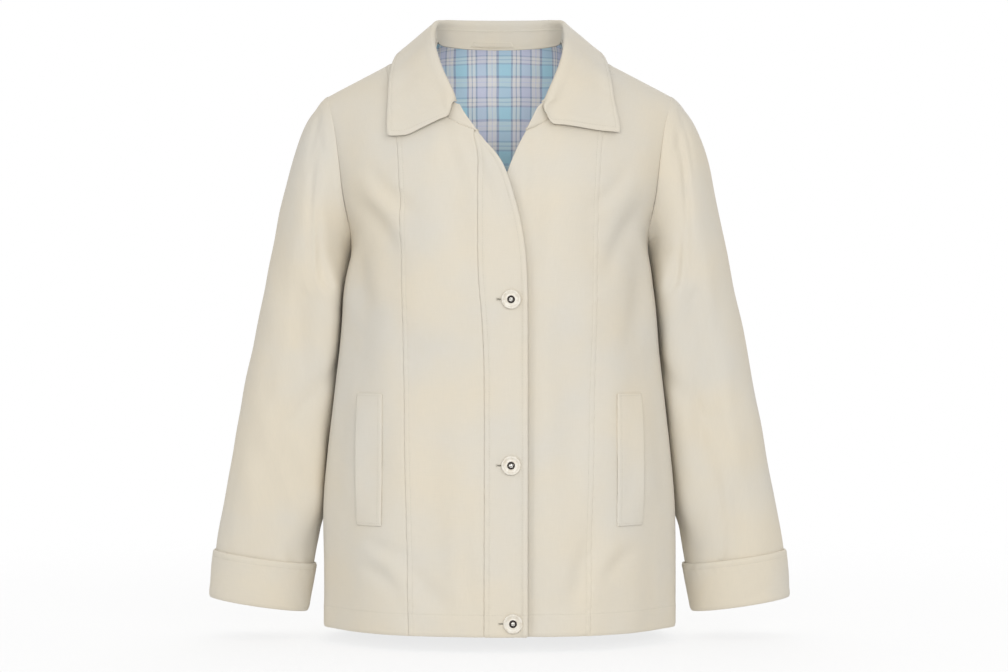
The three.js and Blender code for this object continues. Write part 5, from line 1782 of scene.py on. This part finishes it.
def area_light(name, place, aim, size, power, tint):
    lamp = bpy.data.lights.new(name, "AREA")
    lamp.shape = "RECTANGLE"
    lamp.size, lamp.size_y = size
    lamp.energy = power
    lamp.color = tint
    light = bpy.data.objects.new(name, lamp)
    light.location = place
    way = np.array(aim) - np.array(place)
    flat = math.hypot(way[0], way[1])
    light.rotation_euler = (math.pi / 2 + math.atan2(way[2], flat), 0, math.atan2(-way[0], way[1]))
    bpy.context.scene.collection.objects.link(light)
    return light


def floor_material():
    """Matt pale floor that thins out with distance."""
    material, nodes, shader = fresh_material("pale_floor")
    place = nodes.add("ShaderNodeTexCoord").outputs["Object"]
    speck = nodes.add("ShaderNodeTexNoise", {"Vector": place, "Scale": 30.0, "Detail": 3.0})
    base = tuple(settings("coat_stage").floor)
    dim = (base[0] * 0.985, base[1] * 0.985, base[2] * 0.985, 1)
    nodes.tree.links.new(nodes.blend(speck.outputs[0], dim, base), shader.inputs["Base Color"])
    shader.inputs["Roughness"].default_value = 0.95
    shader.inputs["Specular IOR Level"].default_value = 0.1
    flat = nodes.add("ShaderNodeMapping", {"Vector": place, "Scale": (1.0, 1.0, 0.0)})
    reach = nodes.add("ShaderNodeVectorMath", {0: flat.outputs[0]}, operation="LENGTH").outputs["Value"]
    thin = nodes.add("ShaderNodeMapRange", {"Value": reach, 1: 0.3, 2: 1.6, 3: 0.76, 4: 1.0},
                     interpolation_type="SMOOTHSTEP")
    clear = nodes.add("ShaderNodeBsdfTransparent")
    both = nodes.add("ShaderNodeMixShader", {0: thin.outputs[0], 1: shader.outputs[0], 2: clear.outputs[0]})
    output = next(node for node in material.node_tree.nodes if node.type == "OUTPUT_MATERIAL")
    nodes.tree.links.new(both.outputs[0], output.inputs["Surface"])
    return material


def make_world():
    """White studio: full light from behind the coat, softer light from the front and below."""
    world = bpy.data.worlds.new("studio")
    world.use_nodes = True
    nodes = Nodes(world.node_tree)
    backdrop = next(node for node in world.node_tree.nodes if node.type == "BACKGROUND")
    way = nodes.add("ShaderNodeTexCoord").outputs["Generated"]
    split = nodes.add("ShaderNodeSeparateXYZ", {0: way})
    behind = nodes.add("ShaderNodeMapRange", {
        "Value": split.outputs["Y"], 1: -0.3, 2: 0.5, 3: 0.55, 4: 1.0}, interpolation_type="SMOOTHSTEP")
    world.node_tree.links.new(behind.outputs[0], backdrop.inputs["Strength"])
    backdrop.inputs["Color"].default_value = (1, 1, 1, 1)
    bpy.context.scene.world = world


# Name, place and aim in metres, size, share of the key strength and tint.
LIGHTS = [
    ("key", (1.6, -3.0, 1.0), (0, 0, -0.35), (1.3, 0.9), 0.45, (1, 0.985, 0.96)),
    ("front", (0, -3.3, 0.1), (0, 0, -0.3), (1.8, 0.6), 1.25, (1, 0.995, 0.985)),
    ("fill", (-2.4, -2.2, 0.3), (0, 0, -0.4), (1.4, 1.8), 0.2, (0.97, 0.985, 1)),
    ("top", (0, 0.3, 2.2), (0, 0, -0.3), (2.4, 1.6), 0.1, (1, 1, 1)),
    ("rear", (0.3, 3.0, 0.8), (0, 0, -0.4), (2.2, 1.6), 0.5, (1, 1, 1)),
]


CAMERA_PLACE = (0.0054, -2.9, -0.355)
CAMERA_LENS = 86.3
FLOOR_RADIUS = 2.4


def make_stage():
    look = settings("coat_stage")
    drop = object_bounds()[0][2] - look.drop
    sides = 96
    turn = np.arange(sides) / sides * 2 * math.pi
    rim = [(FLOOR_RADIUS * math.cos(angle), FLOOR_RADIUS * math.sin(angle), drop) for angle in turn]
    mesh = bpy.data.meshes.new("floor")
    mesh.from_pydata(rim, [], [tuple(range(sides))])
    mesh.materials.append(floor_material())
    floor = bpy.data.objects.new("floor", mesh)
    bpy.context.scene.collection.objects.link(floor)
    floor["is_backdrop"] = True
    for name, place, aim, size, share, tint in LIGHTS:
        area_light(name, place, aim, size, look.key * share, tint)
    make_world()
    bpy.context.scene.view_settings.view_transform = "Standard"
    lens = bpy.data.cameras.new("camera")
    lens.sensor_width = 36
    lens.lens = CAMERA_LENS
    lens.clip_end = 50
    camera = bpy.data.objects.new("camera", lens)
    camera.location = CAMERA_PLACE
    camera.rotation_euler = (math.pi / 2, 0, 0)
    bpy.context.scene.collection.objects.link(camera)
    bpy.context.scene.camera = camera


# ---------------------------------------------------------------- operators

class CoatOperator:
    bl_options = {"REGISTER", "UNDO"}


class COAT_OT_stage(CoatOperator, bpy.types.Operator):
    """Make the floor, lights and camera"""
    bl_idname = "coat.make_stage"
    bl_label = "Stage"

    def execute(self, context):
        make_stage()
        return {"FINISHED"}


class COAT_OT_fronts(CoatOperator, bpy.types.Operator):
    """Make the centre fronts, side fronts and placket with their stitching"""
    bl_idname = "coat.make_fronts"
    bl_label = "Fronts"

    def execute(self, context):
        lines = []
        for side, sign in (("right", -1), ("left", 1)):
            lines += front_side(side, sign) + front_centre(side, sign)
        sew("stitching_fronts", lines)
        sew("stitching_placket", placket())
        return {"FINISHED"}


class COAT_OT_back(CoatOperator, bpy.types.Operator):
    """Make the back with its hem stitching"""
    bl_idname = "coat.make_back"
    bl_label = "Back"

    def execute(self, context):
        sew("stitching_back", make_back())
        return {"FINISHED"}


class COAT_OT_lining(CoatOperator, bpy.types.Operator):
    """Make the check lining of the back"""
    bl_idname = "coat.make_lining"
    bl_label = "Lining"

    def execute(self, context):
        make_lining()
        return {"FINISHED"}


class COAT_OT_sleeves(CoatOperator, bpy.types.Operator):
    """Make both sleeves and their turned-back cuffs"""
    bl_idname = "coat.make_sleeves"
    bl_label = "Sleeves and cuffs"

    def execute(self, context):
        lines = []
        for side, sign in (("right", -1), ("left", 1)):
            make_sleeve(side, sign)
            lines += make_cuff(side, sign)
        sew("stitching_cuffs", lines)
        return {"FINISHED"}


class COAT_OT_collar(CoatOperator, bpy.types.Operator):
    """Make the collar stand, the leaf and the hanger loop"""
    bl_idname = "coat.make_collar"
    bl_label = "Collar"

    def execute(self, context):
        sew("stitching_collar", make_stand() + make_leaf())
        sew("stitching_loop", make_loop(), lift=0.02)
        return {"FINISHED"}


class COAT_OT_pockets(CoatOperator, bpy.types.Operator):
    """Make the pocket welts with their stitching"""
    bl_idname = "coat.make_pockets"
    bl_label = "Pocket welts"

    def execute(self, context):
        sew("stitching_pockets", pocket_welt("right", -1) + pocket_welt("left", 1))
        return {"FINISHED"}


class COAT_OT_buttons(CoatOperator, bpy.types.Operator):
    """Make the buttons and the ends of their buttonholes"""
    bl_idname = "coat.make_buttons"
    bl_label = "Buttons"

    def execute(self, context):
        look = settings("coat_buttons")
        finishes = [resin_material(), metal_material("dark_ring", look.metal, 0.35),
                    metal_material("pale_stud", (0.5, 0.49, 0.46, 1), 0.3)]
        starts, ends, slit_shadow_starts, slit_shadow_ends = [], [], [], []
        for name, (x, z) in BUTTON_PLACES.items():
            point, out = front_spot([x], [z])
            settle(button_mesh(f"detailed_{name}", point[0] + out[0] * 0.65, out[0], finishes),
                   "button_resin", name)
            run = np.linspace(x - BUTTONHOLE["far"], x - BUTTONHOLE["near"], 22)
            points, outs = front_spot(run, np.full_like(run, z))
            up = np.tile([0.0, 0.0, 1.0], (len(run), 1))
            first, last = buttonhole_threads(points, outs, up)
            starts += list(first)
            ends += list(last)
            bar = np.linspace(-BUTTONHOLE["bar_half"], BUTTONHOLE["bar_half"], 7)
            tip, tip_out = front_spot([x - BUTTONHOLE["bar"]], [z])
            starts += [tip[0] + np.array([-0.7, 0, rise]) + tip_out[0] * 0.3 for rise in bar]
            ends += [tip[0] + np.array([0.7, 0, rise]) + tip_out[0] * 0.3 for rise in bar]
            # A dark strip along each slit: painted shadow of the slit's gap.
            slit_shadow_starts.append(points[0] + outs[0] * 0.32)
            slit_shadow_ends.append(points[12] + outs[12] * 0.32)
        settle(beads("buttonhole_threads", starts, ends, 0.36, thread_material()), "shell_cloth")
        settle(beads("buttonhole_slits", slit_shadow_starts, slit_shadow_ends, 0.6, slit_shadow_material()), "shell_cloth")
        return {"FINISHED"}


OPERATORS = (COAT_OT_stage, COAT_OT_fronts, COAT_OT_back, COAT_OT_lining, COAT_OT_sleeves,
             COAT_OT_collar, COAT_OT_pockets, COAT_OT_buttons)


class COAT_PT_panel(bpy.types.Panel):
    """The coat's sizes, colours and pieces"""
    bl_idname = "COAT_PT_panel"
    bl_label = "Coat"
    bl_space_type = "VIEW_3D"
    bl_region_type = "UI"
    bl_category = "Coat"

    def draw(self, context):
        for kind in SETTINGS:
            box = self.layout.box()
            group = getattr(context.scene, setting_name(kind))
            for field in kind.__annotations__:
                box.prop(group, field)
        for operator in OPERATORS:
            self.layout.operator(operator.bl_idname)


def setting_name(kind):
    return "coat_" + kind.__name__.removeprefix("Coat").lower()


def register():
    for kind in (*SETTINGS, *OPERATORS, COAT_PT_panel):
        bpy.utils.register_class(kind)
    for kind in SETTINGS:
        setattr(bpy.types.Scene, setting_name(kind), bpy.props.PointerProperty(type=kind))


def unregister():
    for kind in SETTINGS:
        delattr(bpy.types.Scene, setting_name(kind))
    for kind in reversed((*SETTINGS, *OPERATORS, COAT_PT_panel)):
        bpy.utils.unregister_class(kind)


def main():
    register()
    bpy.ops.coat.make_fronts()
    bpy.ops.coat.make_back()
    bpy.ops.coat.make_lining()
    bpy.ops.coat.make_sleeves()
    bpy.ops.coat.make_collar()
    bpy.ops.coat.make_pockets()
    bpy.ops.coat.make_buttons()
    bpy.ops.coat.make_stage()
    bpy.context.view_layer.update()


if __name__ == "__main__":
    main()
